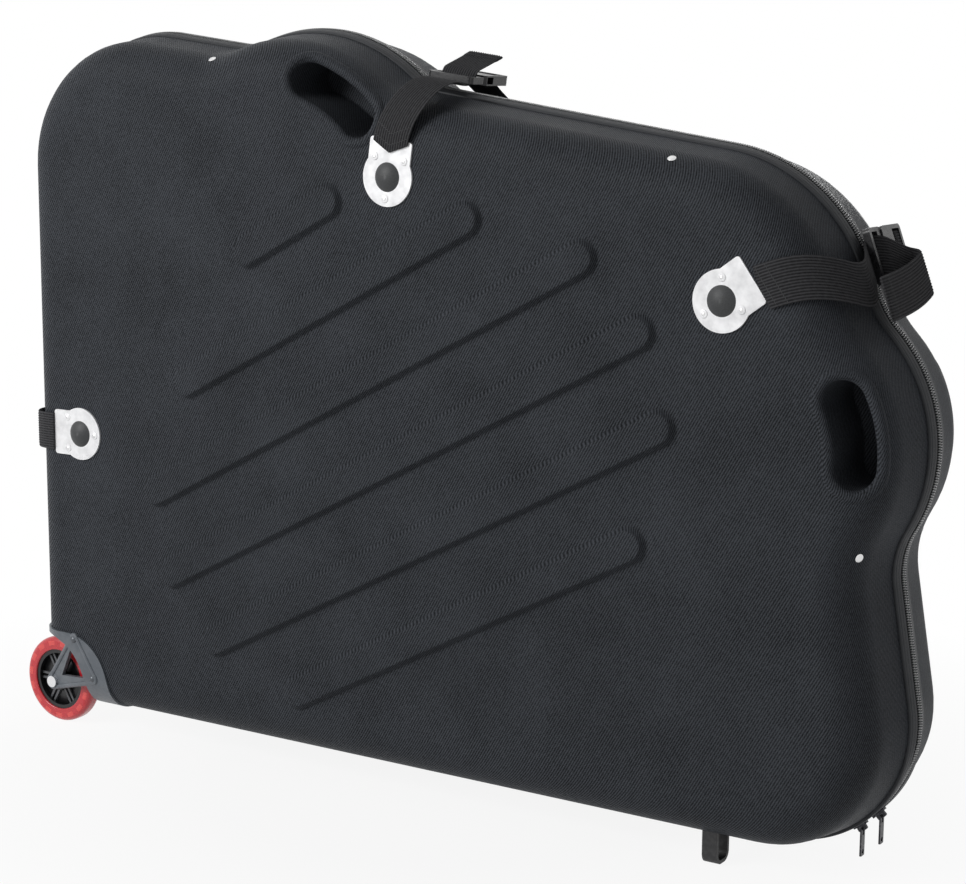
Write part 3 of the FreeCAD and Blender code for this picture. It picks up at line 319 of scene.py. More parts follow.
def binding_profile(side, places):
    """Sections of a binding: a flat underside and a crowned top with a sewn groove and a bead near the shell.

    The top is a half superellipse over the width, raised at the zip and lowered at the shell where the edge
    is ridged, less a narrow bell-shaped groove at the stitches and another one beside the bead.
    """
    share = (1 - np.cos(np.linspace(0, np.pi, binding_columns))) / 2
    rounded = (1 - np.abs(2 * share - 1) ** 7) ** (1 / 3.5)
    grooves = (sewn_depth * np.exp(-((share - sewn_share) / sewn_width) ** 2)
               + bead_depth * np.exp(-((share - bead_share) / bead_width) ** 2))
    proud = binding_proud + crest(places)[:, None] * (crest_rise * (1 - share) - lip_fall * share)
    out = binding_edge + (proud - binding_edge) * rounded - grooves
    depth = np.broadcast_to(binding_near + (binding_far - binding_near) * share, out.shape)
    under = np.broadcast_to([(binding_under, binding_far), (binding_under, binding_near)], (len(places), 2, 2))
    return np.concatenate([np.stack([out, depth], -1), under], 1) * (1.0, side)


places = np.arange(bottom_start, rear_end, edge_step)
for half, side in halves:
    profile = binding_profile(side, places)
    faces = swept_faces(len(places), profile.shape[1], flip=side < 0)
    binding = piece(half + "_edge_binding", edge_sweep(places, profile), faces, binding_rubber, half + "_half",
                    "binding")
    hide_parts(half + "_binding")


# Sewn line of the bindings: short stitches of polyester thread, a little darker than the rubber. They lie
# in the groove of each binding and hold it to the lip of its shell.

def ball(rings, segments):
    """Unit ball as points, four-sided faces and three-sided ones: rings of points between two poles.

    A ring's point is the sine of its tilt times the cosine and the sine of its turn, and the tilt's cosine.
    """
    tilt = np.pi * np.arange(1, rings) / rings
    turn = 2 * np.pi * np.arange(segments) / segments
    ring = np.stack([np.sin(tilt)[:, None] * np.cos(turn), np.sin(tilt)[:, None] * np.sin(turn),
                     np.repeat(np.cos(tilt)[:, None], segments, 1)], -1).reshape(-1, 3)
    points = np.concatenate([ring, [(0, 0, 1), (0, 0, -1)]])
    index, last = np.arange(segments), (rings - 2) * segments
    following = np.roll(index, -1)
    north = np.stack([np.full(segments, len(points) - 2), index, following], 1)
    south = np.stack([np.full(segments, len(points) - 1), last + following, last + index], 1)
    return points, grid_faces(rings - 1, segments)[:, ::-1], np.concatenate([north, south])


def repeated(shape, centres, axes):
    """One shape set down at many centres: its three axes there are rows of (3, 3) frames, scaled to its sizes."""
    points, *kinds = shape
    placed = centres[:, None, :] + np.einsum("pi,nij->npj", points, axes)
    shift = (len(points) * np.arange(len(centres)))[:, None, None]
    squares, triangles = [(shift + kind).reshape(-1, kind.shape[1]).tolist() for kind in kinds]
    return placed, squares + triangles


def edge_frames(places, out, depth, sizes):
    """Centres on the case's edge, and frames along it, outwards and across it.

    A centre is the edge's point plus its normal times a distance. Sizes are half sizes along the edge, across
    it and outwards.
    """
    point, normal = run_at(edge_rounds, places)
    flat = point + normal * np.reshape(out, (-1, 1))
    zero, one = np.zeros(len(places)), np.ones(len(places))
    centres = np.stack([flat[:, 0], zero + depth, flat[:, 1]], 1)
    ahead = np.stack([-normal[:, 1], zero, normal[:, 0]], 1) * sizes[0]
    across = np.stack([zero, one, zero], 1) * sizes[1]
    outwards = np.stack([normal[:, 0], zero, normal[:, 1]], 1) * sizes[2]
    return centres, np.stack([ahead, outwards, across], 1)


thread = finish("binding_thread", (0.022, 0.022, 0.025), 0.7, Sheen_Weight=0.3)
bump(thread, maths(thread, "ABSOLUTE", waves(thread, where(thread), 0.0011, (0.6, 0.6, 0.5))), 0.0001)
stitch_pitch = 0.0046
stitch_half = (0.0019, 0.00045, 0.0005)
stitch_sink, line_inset = 0.0003, 0.004
stitch_shape = ball(4, 6)
stitch_places = np.arange(bottom_start + line_inset, rear_end - line_inset, stitch_pitch)
line_rise = crest_rise * (1 - sewn_share) - lip_fall * sewn_share
level = binding_proud - stitch_sink + line_rise * crest(stitch_places)
for half, side in halves:
    depth = side * (binding_near + (binding_far - binding_near) * sewn_share)
    made, faces = repeated(stitch_shape, *edge_frames(stitch_places, level, depth, stitch_half))
    piece(half + "_binding_stitches", made, faces, thread, half + "_half", "binding")


# Grip lips: a soft piping of the shell's own cloth over foam, moulded round the mouth of each finger
# recess, so that the grip feels round in the hand.

# Each grip: the middle and radius of its lobe of the outline, its degrees above +X, and its arc's length.
grip_table = (("top", (-0.1875, 0.7080), 0.235, 58.5, 0.088), ("side", (0.4595, 0.4930), 0.180, 12.0, 0.074))
grip_bar, mouth_half = 0.020, 0.026
lip_round, lip_out, lip_sink = 0.0070, 0.0050, 0.0044
lip_around, outline_step = 20, 0.002
arc_points, end_points = 70, 42
face_depth, fillet_round, fillet_in = 0.115, 0.050, 0.0567


def looped_faces(stations, around, flip=False):
    """Faces of a closed profile carried along a closed run."""
    return grid_faces(stations, around, wrap_rows=True)[:, ::-1 if flip else 1].tolist()


def bent_pill(middle, half, angle, arc):
    """Points and outward normals of a pill bent round a centre: two arcs about it and two half-round ends."""
    wide = arc / 2 / middle
    sweep = np.linspace(-wide, wide, arc_points) + angle
    cap = np.linspace(0.0, np.pi, end_points)[1:-1]
    ends = [(angle + wide, cap), (angle - wide, cap + np.pi)]
    ray = [np.stack([np.cos(turn), np.sin(turn)], 1) for turn in (sweep, sweep[::-1])]
    rounds = [np.stack([np.cos(turn + tip), np.sin(turn + tip)], 1) for turn, tip in ends]
    tips = [middle * np.array([math.cos(turn), math.sin(turn)]) for turn, tip in ends]
    points = [(middle + half) * ray[0], tips[0] + half * rounds[0],
              (middle - half) * ray[1], tips[1] + half * rounds[1]]
    return np.concatenate(points), np.concatenate([ray[0], rounds[0], -ray[1], rounds[1]])


# The shell's face is flat and falls away in a quarter round near the edge. The tilt of a point of the rim
# is its share of that round, and the lip sinks into the face along the tilted direction.
outline = run_at(edge_rounds, np.arange(0.0, edge_length, outline_step))[0]
tube_turn = np.linspace(0, 2 * np.pi, lip_around, endpoint=False)
for grip, centre, radius, degrees, arc in grip_table:
    rim, out = bent_pill(radius - grip_bar - mouth_half, mouth_half, math.radians(degrees), arc)
    rim = rim + centre
    apart = outline[None] - rim[:, None]
    span = np.hypot(apart[..., 0], apart[..., 1])
    near = span.argmin(1)
    inset = span[np.arange(len(rim)), near]
    to_edge = apart[np.arange(len(rim)), near] / inset[:, None]
    tilt = np.clip((fillet_in - inset) / fillet_round, 0.0, 1.0)
    depth = face_depth - fillet_round + fillet_round * np.sqrt(1 - tilt ** 2)
    sink = lip_sink + lip_out * np.maximum(0.0, tilt * (to_edge * out).sum(1))
    flat = rim + out * lip_out - to_edge * (sink * tilt)[:, None]
    depth = depth - sink * np.sqrt(1 - tilt ** 2)
    lip = flat[:, None, :] + out[:, None, :] * (lip_round * np.cos(tube_turn))[None, :, None]
    for half, side in halves:
        level = side * (depth[:, None] + lip_round * np.sin(tube_turn))
        piece("%s_%s_grip_lip" % (half, grip), np.stack([lip[..., 0], level, lip[..., 1]], -1),
              looped_faces(len(rim), lip_around, flip=side < 0), shell_twill, half + "_half", "shell")


# Zip: a coil zip sewn between the bindings. Each half is a woven tape with a row of nylon coil teeth
# on its edge, and the teeth of the two rows lie between each other.

zip_start = 1.2265
zip_end = edge_length - 0.018
tape_out, tape_under, tape_crest = 0.0009, -0.0004, 0.0030
tape_near, tape_far = 0.0004, 0.0062
tooth_pitch = 0.0029
tooth_half = (0.00085, 0.0027, 0.0013)
tooth_depth = 0.0024
tooth_out, tooth_crest = 0.0022, 0.0036

coil_nylon = finish("coil_nylon", (0.34, 0.345, 0.35), 0.32, Coat_Weight=0.25, Coat_Roughness=0.3)
worn = ranged(coil_nylon, noise(coil_nylon, where(coil_nylon), 120.0), 0.3, 0.7, 0.0, 1.0)
feed(coil_nylon, "Base Color", shades(coil_nylon, worn, (0.30, 0.305, 0.31), (0.55, 0.555, 0.56)))

zip_cloth = finish("zip_tape_cloth", (0.02, 0.021, 0.023), 0.8, Sheen_Weight=0.05, Specular_IOR_Level=0.1)
spot = where(zip_cloth)
rows = waves(zip_cloth, spot, 0.0012, (0.0, 1.0, 0.0))
picks = waves(zip_cloth, spot, 0.0011, (0.8, 0.4, 0.8))
weave = ranged(zip_cloth, maths(zip_cloth, "MULTIPLY", rows, picks), -1.0, 1.0, 0.0, 1.0)
feed(zip_cloth, "Base Color", shades(zip_cloth, weave, (0.013, 0.013, 0.015), (0.032, 0.033, 0.036)))
bump(zip_cloth, weave, 0.00015)

tooth_shape = ball(4, 6)
tape_places = np.arange(zip_start, zip_end, edge_step)
tape_section = np.array([(tape_out, tape_near), (tape_out, tape_far),
                         (tape_under, tape_far), (tape_under, tape_near)])
tape_lift = crest(tape_places)[:, None, None] * tape_crest * np.array([(1, 0), (1, 0), (0, 0), (0, 0)])
for half, side in halves:
    tape_profile = (tape_section + tape_lift) * (1.0, side)
    tape = piece(half + "_zip_tape", edge_sweep(tape_places, tape_profile),
                 swept_faces(len(tape_places), 4, flip=side < 0), zip_cloth, half + "_half", "zip")
    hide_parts(half + "_zip_teeth")
    offset = 0.0 if side < 0 else tooth_pitch / 2
    tooth_places = np.arange(zip_start + offset, zip_end, tooth_pitch)
    level = tooth_out + tooth_crest * crest(tooth_places)
    made, faces = repeated(tooth_shape, *edge_frames(tooth_places, level, side * tooth_depth, tooth_half))
    piece(half + "_coil_teeth", made, faces, coil_nylon, half + "_half", "zip")


# Hinge tape: a woven strip glued and sewn under both bindings along the bottom edge.

hinge_low, hinge_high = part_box("hinge_strip")
tape_half_width = 0.0165
tape_top = 0.0262
tape_thickness = 0.0009
tape_end_gap = 0.004
tape_rows, tape_columns = 60, 33
bend_half, bend_groove = 0.004, 0.0004

hinge_cloth = finish("hinge_tape_cloth", (0.017, 0.017, 0.019), 0.85, Sheen_Weight=0.05, Specular_IOR_Level=0.1)
spot = where(hinge_cloth)
rows = waves(hinge_cloth, spot, 0.0016, (0.0, 1.0, 0.0))
picks = waves(hinge_cloth, spot, 0.0014, (1.0, 0.0, 0.0))
weave = ranged(hinge_cloth, maths(hinge_cloth, "MULTIPLY", rows, picks), -1.0, 1.0, 0.0, 1.0)
feed(hinge_cloth, "Base Color", shades(hinge_cloth, weave, (0.011, 0.011, 0.012), (0.03, 0.03, 0.033)))
bump(hinge_cloth, weave, 0.0002)

# Both faces of the tape dip along its middle by a squared cosine of the share across, where it bends.
across = np.linspace(-1.0, 1.0, tape_columns)
lengthwise = np.linspace(hinge_low[0] + tape_end_gap, hinge_high[0] - tape_end_gap, tape_rows)
sides = np.concatenate([across, across[::-1]])
levels = np.repeat([tape_top, tape_top - tape_thickness], tape_columns)
levels = levels - bend_groove * np.cos(np.pi * sides) ** 2 * (np.abs(sides) < 0.5)
section = np.stack([np.zeros(len(sides)), sides * tape_half_width, levels], 1)
hinge_points = section[None] + lengthwise[:, None, None] * np.array([1.0, 0.0, 0.0])
hinge_tape = piece("hinge_tape", hinge_points, swept_faces(tape_rows, len(sides), flip=True), hinge_cloth, None,
                   "hinge_fabric")
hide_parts("hinge_strip")
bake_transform(hinge_tape)


# Strap plates: stamped aluminium tabs, blasted and clear anodised, riveted to the faces. A dark moulded
# cap covers the middle of each, and small steel heads show round it.

plate_aluminium = finish("plate_aluminium", (0.80, 0.80, 0.81), 0.6, Metallic=0.45)
spot = where(plate_aluminium)
blast = noise(plate_aluminium, spot, 1500.0, 2.0)
smudge = ranged(plate_aluminium, noise(plate_aluminium, spot, 60.0), 0.35, 0.7, 0.0, 1.0)
feed(plate_aluminium, "Base Color", shades(plate_aluminium, smudge, (0.88, 0.88, 0.89), (0.72, 0.72, 0.73)))
feed(plate_aluminium, "Roughness", ranged(plate_aluminium, smudge, 0.0, 1.0, 0.54, 0.68))
bump(plate_aluminium, blast, 0.00006)

cap_plastic = finish("cap_plastic", (0.045, 0.047, 0.052), 0.5)
spot = where(cap_plastic)
grain = node(cap_plastic, "TexVoronoi", {"Vector": spot, "Scale": 900.0}).outputs["Distance"]
feed(cap_plastic, "Base Color", shades(cap_plastic, grain, (0.020, 0.022, 0.023), (0.044, 0.046, 0.049)))
bump(cap_plastic, grain, 0.00012)

head_steel = finish("head_steel", (0.72, 0.72, 0.72), 0.3, Metallic=0.9)
spot = where(head_steel)
scratch = noise(head_steel, spot, 700.0)
feed(head_steel, "Roughness", ranged(head_steel, scratch, 0.3, 0.7, 0.22, 0.42))
bump(head_steel, scratch, 0.00004)

# Each plate: the cap's middle, the degrees of its tab above +X, and how far along the tab its rivets lie.
strap_names = ("top", "side", "rear")
plate_places = np.array([(-0.0056, 0.7734, 82.0, 0.0217),
                         (0.4356, 0.6541, 36.0, 0.0148),
                         (-0.5085, 0.4170, 180.0, 0.0217)])
tab_rivets, foot_rivet = 0.0210, -0.0260
collar_round, collar_height = 0.0050, 0.0009
collar_spread, collar_crown = -0.72, 0.6
plate_face = 0.1175
turn = np.radians(plate_places[:, 2])
ahead = np.stack([np.cos(turn), np.sin(turn)], 1)[:, None, :]
aside = np.stack([-np.sin(turn), np.cos(turn)], 1)[:, None, :]
lengthwise = plate_places[:, 3:] * (1, 1, 0) + np.array([0, 0, foot_rivet])
crosswise = np.array([tab_rivets, -tab_rivets, 0.0])
spots = plate_places[:, None, :2] + lengthwise[..., None] * ahead + crosswise[:, None] * aside
spots = spots.reshape(-1, 2)

# A collar is a ball whose rings are spread towards its rim, and whose height follows a power below one.
ball_points, *collar_faces = ball(8, 24)
round_share = np.hypot(ball_points[:, 0], ball_points[:, 1])[:, None]
heights = ball_points[:, 2:]
collar_points = np.concatenate([ball_points[:, :2] * np.maximum(round_share, 1e-6) ** collar_spread,
                                np.sign(heights) * np.abs(heights) ** collar_crown], 1)
for half, side in halves:
    centres = np.stack([spots[:, 0], np.full(len(spots), side * plate_face), spots[:, 1]], 1)
    axes = np.array([(collar_round, 0, 0), (0, 0, -side * collar_round), (0, side * collar_height, 0)])
    made, faces = repeated((collar_points, *collar_faces), centres, np.tile(axes, (len(spots), 1, 1)))
    piece(half + "_rivet_collars", made, faces, plate_aluminium, half + "_half", "plate")
    dress(plate_aluminium, *["%s_%s_plate" % (half, strap) for strap in strap_names])
    dress(cap_plastic, half + "_strap_domes")
    dress(head_steel, half + "_strap_rivets", half + "_eyelets")


# Strap webbing: 50 mm polypropylene webbing with fine lengthwise ribs. The top one is sewn over its plate's
# tab with a pointed end, and the others come out from under the tab. Each runs over the rounded edge of its
# shell and folds round the bar of its buckle half into a free tail.

web_width, web_thickness = 0.050, 0.0022
web_ribs = 15
rib_relief = 0.0007
web_step = 0.0025
cut_fade, droop_length = 0.030, 0.055
hem_length, hem_gain, hem_ramp = 0.016, 0.75, 0.003
first_seams, hem_seams = (0.009, 0.022), (0.006, 0.011)
seam_stitches, seam_share, seam_rise = 14, 0.86, 0.52
web_stitch_half = (0.0013, 0.0004, 0.0004)
nearby_along, nearby_across = 0.001, 0.04

web_black = finish("web_black", (0.016, 0.016, 0.018), 0.78, Sheen_Weight=0.04, Sheen_Roughness=0.4,
                   Specular_IOR_Level=0.12)
lay = node(web_black, "Attribute", attribute_name="web_place").outputs["Vector"]
rib_edges = waves(web_black, lay, web_width / web_ribs / 2, (1.0, 0.0, 0.0))
picks = waves(web_black, lay, 0.0015, (0.35, 1.0, 0.0))
weave = ranged(web_black, maths(web_black, "MULTIPLY", rib_edges, picks), -1.0, 1.0, 0.0, 1.0)
lint = ranged(web_black, noise(web_black, lay, 260.0), 0.35, 0.7, -0.15, 0.15)
# Painted highlight and shade on the ribs: the colour is lighter on each rib's crown and darker in the groove
# between ribs, in step with the ribs of the webbing's section.
painted_rib_light = along(web_black, lay, (2 * math.pi * web_ribs / web_width, 0.0, 0.0))
painted_rib_light = maths(web_black, "COSINE", painted_rib_light)
tone = ranged(web_black, painted_rib_light, -1.0, 1.0, 0.0, 0.75)
tone = maths(web_black, "ADD", tone, maths(web_black, "MULTIPLY", weave, 0.3))
tone = maths(web_black, "ADD", tone, lint)
feed(web_black, "Base Color", shades(web_black, tone, (0.011, 0.011, 0.012), (0.078, 0.078, 0.083)))
bump(web_black, weave, 0.0002)


def web_profile():
    """Section of the webbing: shares across from -1 to 1 and heights, ribbed on both faces.

    A height is half the thickness plus a cosine for the ribs, times the root of one less the tenth power of
    the share, which rounds the edges.
    """
    share = np.concatenate([[-1.0, -0.996], np.linspace(-0.985, 0.985, 91), [0.996, 1.0]])
    edge = (1 - np.abs(share) ** 10) ** 0.5
    ribs = np.cos(share * np.pi * web_ribs)
    rise = web_thickness / 2 * edge + rib_relief / 2 * ribs * edge
    return np.concatenate([share, share[::-1]]), np.concatenate([rise, -rise[::-1]])


def strap_points(route, meet, angle, side, sway, places, share, rise):
    """Points at places along a strap and shares across it, raised from its middle layer.

    The route of rounds (outwards, towards the buckle) lies in the strap's own plane, which stands on the
    case's edge where they meet, with its outward direction at an angle above +X. Slack is a bulge away from
    the shell and a shift to one side, both a squared sine over a power of the length up to the bar, and the
    tail droops by the square of its length at first, levelling off.
    """
    reach, bulge, shift, droop, late = sway
    point, normal = run_at(route, places, closed=False)
    slack = np.sin(np.pi * np.clip(places / reach, 0.0, 1.0) ** late) ** 2
    tail = np.clip((places - reach) / droop_length, 0.0, None) ** 2
    tail = tail / (1 + tail)
    flat = point + normal * (bulge * slack - rise)[..., None]
    direction, aside = np.array([np.cos(angle), np.sin(angle)]), np.array([-np.sin(angle), np.cos(angle)])
    over = share * web_width / 2 + shift * slack + droop * tail
    ground = meet + flat[..., :1] * direction + over[..., None] * aside
    return np.stack([ground[..., 0], -side * flat[..., 1], ground[..., 1]], -1)


web_thread = finish("web_thread", (0.035, 0.035, 0.038), 0.7, Sheen_Weight=0.3)
twist = waves(web_thread, where(web_thread), 0.0009, (0.6, 0.5, 0.6))
bump(web_thread, maths(web_thread, "ABSOLUTE", twist), 0.0001)


def strap_web(name, route, meet, angle, side, sway, start_cut, body):
    """Webbing on a strap's route with a cut first end and a folded hem on the last, and its stitches.

    The first end is pointed, where the sides start later than the middle, or skewed, and this fades along
    the webbing. The hem makes it three quarters thicker, and a stitch lies along the webbing's own axes.
    """
    share, rise = web_profile()
    whole = run_length(route, closed=False)
    places = np.arange(0.0, whole, web_step)[:, None]
    point, skew = start_cut
    late = (point * np.abs(share) + skew * share) * np.clip(1 - places / cut_fade, 0.0, 1.0)
    hem = 1 + hem_gain * smooth((places - whole + hem_length) / hem_ramp)
    spread = np.broadcast_to(share, late.shape)
    points = strap_points(route, meet, angle, side, sway, places + late, spread, rise * hem)
    lay = np.stack(np.broadcast_arrays(share[None] * web_width / 2, places, 0.0), -1)
    faces = swept_faces(len(places), len(share), flip=side > 0)
    web = piece(name, points, faces, web_black, body, "webbing", web_place=lay)
    seams = np.concatenate([first_seams, whole - np.array(hem_seams)])
    across = np.linspace(-seam_share, seam_share, seam_stitches)
    place, spread = np.meshgrid(seams, across, indexing="ij")
    place = place + (point * np.abs(spread) + skew * spread) * (place < cut_fade)
    lift = -web_thickness * seam_rise * (1 + hem_gain * (place > whole - hem_length))
    middle = strap_points(route, meet, angle, side, sway, place, spread, lift)
    ahead = strap_points(route, meet, angle, side, sway, place + nearby_along, spread, lift) - middle
    aside = strap_points(route, meet, angle, side, sway, place, spread + nearby_across, lift) - middle
    up = np.cross(aside, ahead)
    unit = [part / np.linalg.norm(part, axis=-1, keepdims=True) for part in (aside, ahead, up)]
    axes = np.stack([part * size for part, size in zip(unit, web_stitch_half)], -2).reshape(-1, 3, 3)
    stitched, faces = repeated(stitch_shape, middle.reshape(-1, 3), axes)
    piece(name + "_stitches", stitched, faces, web_thread, body, "webbing")
    return web


over_tab, tucked_tab, side_tab = 0.0290, 0.0452, 0.0470
tab_face, tuck_depth = face_depth + 0.0025, 0.0012
round_shift, round_clear = 0.0012, 0.0038
bar_rise, bar_turn = 0.0135, 0.0040
front_bar, back_bar = 0.0029, 0.0590
lap = (0.0206, 0.0168, 0.0060)
back_tail = ((0.0176, -0.0710, 0.0),)
back_slack = (0.003, 0.0, 0.0, 1.0)

# Each strap: where it meets the edge, its degrees above +X, how far in the plate's cap lies, how much higher
# the buckle sits, where along the plate the webbing starts, the point and skew of that end, the slack (bulge,
# shift, droop of the tail, power), and the rounds (outwards, towards the buckle, radius) of the tail.
strap_table = (
    ("top", (0.0080, 0.8704), 82.0, 0.0980, 0.0053, over_tab, (0.012, 0.0), (0.019, -0.023, -0.012, 1.15),
     (lap, (0.0440, 0.0570, 0.0))),
    ("side", (0.5497, 0.6957), 20.0, 0.1215, 0.0, side_tab, (0.0, -0.0072), (0.016, -0.028, -0.056, 1.8),
     (lap, (0.0440, 0.0340, -0.0070), (0.0370, -0.0600, 0.0))),
    ("rear", (-0.6095, 0.4170), 180.0, 0.1010, 0.0, tucked_tab, (0.0, 0.0), (0.005, 0.003, 0.010, 1.0),
     ((0.0310, 0.0123, 0.0),)))
for strap, meet, degrees, inset, dip, first, start_cut, slack, tail in strap_table:
    start_depth = tab_face + web_thickness / 2 if first == over_tab else tab_face - tuck_depth
    start = (first - inset, -start_depth, 0.0)
    over = (round_shift + dip / 2 - fillet_in, fillet_round - face_depth, fillet_round + round_clear)
    ends = ((front_bar, tail, slack), (-back_bar, back_tail, back_slack))
    for (half, side), (bar, free_end, sway) in zip(halves, ends):
        buckle_end = ((bar_rise, bar, -bar_turn), *free_end)
        route = np.array([start, over, *[(rise + dip, depth, bend) for rise, depth, bend in buckle_end]])
        bar_place = run_parts(route, False)[2][:4].sum()
        web = strap_web("%s_%s_web" % (half, strap), route, np.array(meet), math.radians(degrees), side,
                        (bar_place, *sway), start_cut, half + "_half")
        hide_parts("%s_%s_webbing" % (half, strap))


# Buckles: side-release buckles moulded in black acetal, finely grained with a satin gloss. The two halves
# hang in the folds of the front and the back webbing and click together over the zip.

buckle_acetal = finish("buckle_acetal", (0.014, 0.014, 0.016), 0.3)
spot = where(buckle_acetal)
grain = noise(buckle_acetal, spot, 1800.0, 2.0)
feed(buckle_acetal, "Roughness", ranged(buckle_acetal, noise(buckle_acetal, spot, 90.0), 0.3, 0.7, 0.22, 0.38))
bump(buckle_acetal, grain, 0.00008)
for half, side in halves:
    dress(buckle_acetal, *["%s_%s_buckle" % (half, strap) for strap in strap_names])


# Wheels: trolley wheels with a clear red polyurethane tyre cast on a black nylon hub, whose paired spokes
# are painted grey, on two steel ball bearings and a bolt.

axle_x, axle_z = -0.5835, 0.0600
block_count = 15
block_middle, block_half = 0.0515, 0.0034
spoke_middle, spoke_half = 0.0262, 0.0105
web_inner, web_outer, web_half = 0.012, 0.041, 0.0012
web_steps = 96


def about_axle(material):
    """Angle and distance of a place about the wheels' axle."""
    spot = node(material, "Mapping", {"Vector": where(material), "Location": (-axle_x, 0.0, -axle_z)}).outputs[0]
    parts = node(material, "SeparateXYZ", {0: spot}).outputs
    angle = maths(material, "ARCTAN2", parts["Z"], parts["X"])
    flat = node(material, "VectorMath", {0: spot, 1: (1.0, 0.0, 1.0)}, operation="MULTIPLY").outputs[0]
    return angle, node(material, "VectorMath", {0: flat}, operation="LENGTH").outputs["Value"]


tyre_red = finish("tyre_red", (0.72, 0.03, 0.04), 0.28, Coat_Weight=0.4, Coat_Roughness=0.15)
angle, distance = about_axle(tyre_red)
blocks = maths(tyre_red, "SINE", maths(tyre_red, "MULTIPLY", angle, float(block_count)))
band = maths(tyre_red, "COMPARE", distance, block_middle, block_half)
block = maths(tyre_red, "MULTIPLY", maths(tyre_red, "GREATER_THAN", blocks, -0.1), band)
feed(tyre_red, "Base Color", shades(tyre_red, block, (0.66, 0.022, 0.034), (0.88, 0.075, 0.07)))
dust = noise(tyre_red, where(tyre_red), 160.0)
feed(tyre_red, "Roughness", ranged(tyre_red, dust, 0.35, 0.7, 0.22, 0.42))
bump(tyre_red, block, 0.0004)

hub_nylon = finish("hub_nylon", (0.016, 0.016, 0.018), 0.32)
angle, distance = about_axle(hub_nylon)
spoke = maths(hub_nylon, "COMPARE", distance, spoke_middle, spoke_half)
feed(hub_nylon, "Base Color", shades(hub_nylon, spoke, (0.006, 0.006, 0.007), (0.10, 0.104, 0.112)))
bump(hub_nylon, noise(hub_nylon, where(hub_nylon), 1500.0, 2.0), 0.00006)

axle_steel = finish("axle_steel", (0.75, 0.75, 0.76), 0.24, Metallic=1.0)
turned = waves(axle_steel, where(axle_steel), 0.0009, (0.6, 0.0, 0.8))
feed(axle_steel, "Roughness", ranged(axle_steel, turned, -1.0, 1.0, 0.2, 0.32))

hub_web_nylon = finish("hub_web_nylon", (0.008, 0.008, 0.009), 0.45)
bump(hub_web_nylon, noise(hub_web_nylon, where(hub_web_nylon), 1500.0, 2.0), 0.00006)

# The web behind the spokes is a thin rectangle turned once about the axle.
turn = np.linspace(0, 2 * np.pi, web_steps, endpoint=False)[:, None]
from_axle = np.array([[web_inner, web_outer, web_outer, web_inner]])
depth = np.array([[-web_half, -web_half, web_half, web_half]])
disc = np.stack(np.broadcast_arrays(axle_x + from_axle * np.cos(turn), depth,
                                    axle_z + from_axle * np.sin(turn)), -1)
for half, side in halves:
    low, high = (np.array(corner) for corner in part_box(half + "_tyre"))
    piece(half + "_hub_web", disc + (0.0, (low[1] + high[1]) / 2, 0.0), looped_faces(web_steps, 4), hub_web_nylon,
          half + "_wheel", "hub")
    dress(tyre_red, half + "_tyre")
    dress(hub_nylon, half + "_hub")
    dress(axle_steel, half + "_bearings", half + "_axle_bolt")


# Wheel brackets: grey glass-filled nylon mouldings screwed over the rear corners, with an open arm on each
# side of the wheel. A rounded rim stands along the edge of the outer arm.

bracket_nylon = finish("bracket_nylon", (0.115, 0.128, 0.145), 0.46)
spot = where(bracket_nylon)
scuff = ranged(bracket_nylon, noise(bracket_nylon, spot, 55.0), 0.4, 0.75, 0.0, 1.0)
feed(bracket_nylon, "Base Color", shades(bracket_nylon, scuff, (0.120, 0.136, 0.156), (0.185, 0.200, 0.220)))
feed(bracket_nylon, "Roughness", ranged(bracket_nylon, scuff, 0.0, 1.0, 0.40, 0.56))
bump(bracket_nylon, noise(bracket_nylon, spot, 1300.0, 2.0), 0.0001)
dress(bracket_nylon, "front_wheel_bracket", "back_wheel_bracket")

# The rim is an ellipse carried round the arm's outline, which leans outwards past the axle's boss.
arm_face, lean_start = 0.104, 0.0083
arm_reach, arm_middle, arm_tilt = 0.088, math.radians(33.0), math.radians(9.5)
corner_turns, corner_round, boss_round = np.radians([13.0, 53.0]), 0.009, 0.012
rim_inset, rim_half, rim_height = 0.0034, 0.0032, 0.0022
rim_steps, rim_around = 240, 14
corners = np.stack([arm_reach * np.cos(corner_turns), arm_reach * np.sin(corner_turns),
                    np.full(2, corner_round)], 1)
arm_rounds = np.concatenate([[(0.0, 0.0, boss_round)], corners]) - (0.0, 0.0, rim_inset)
rim_places = np.linspace(0.0, run_length(arm_rounds), rim_steps, endpoint=False)
rim_points, rim_out = run_at(arm_rounds, rim_places)
section_turn = np.linspace(0, 2 * np.pi, rim_around, endpoint=False)
spread = rim_points[:, None, :] + rim_out[:, None, :] * (rim_half * np.cos(section_turn))[None, :, None]
reach = spread @ np.array([math.cos(arm_middle), math.sin(arm_middle)])
depth = arm_face + math.tan(arm_tilt) * np.maximum(reach - lean_start, 0.0) + rim_height * np.sin(section_turn)
for half, side in halves:
    points = np.stack([axle_x + spread[..., 0], side * depth, axle_z + spread[..., 1]], -1)
    faces = looped_faces(rim_steps, rim_around, flip=side < 0)
    piece(half + "_bracket_rim", points, faces, bracket_nylon, half + "_half", "bracket")

screw_black = finish("screw_black", (0.10, 0.108, 0.12), 0.35, Metallic=0.6)
rub = noise(screw_black, where(screw_black), 600.0)
feed(screw_black, "Roughness", ranged(screw_black, rub, 0.3, 0.7, 0.28, 0.45))
dress(screw_black, "front_bracket_screws", "back_bracket_screws")


# Feet: bands of black moulded rubber bent into loops and bonded under the grip end of each shell. They
# carry the case when it stands, and are scuffed a little paler in spots.

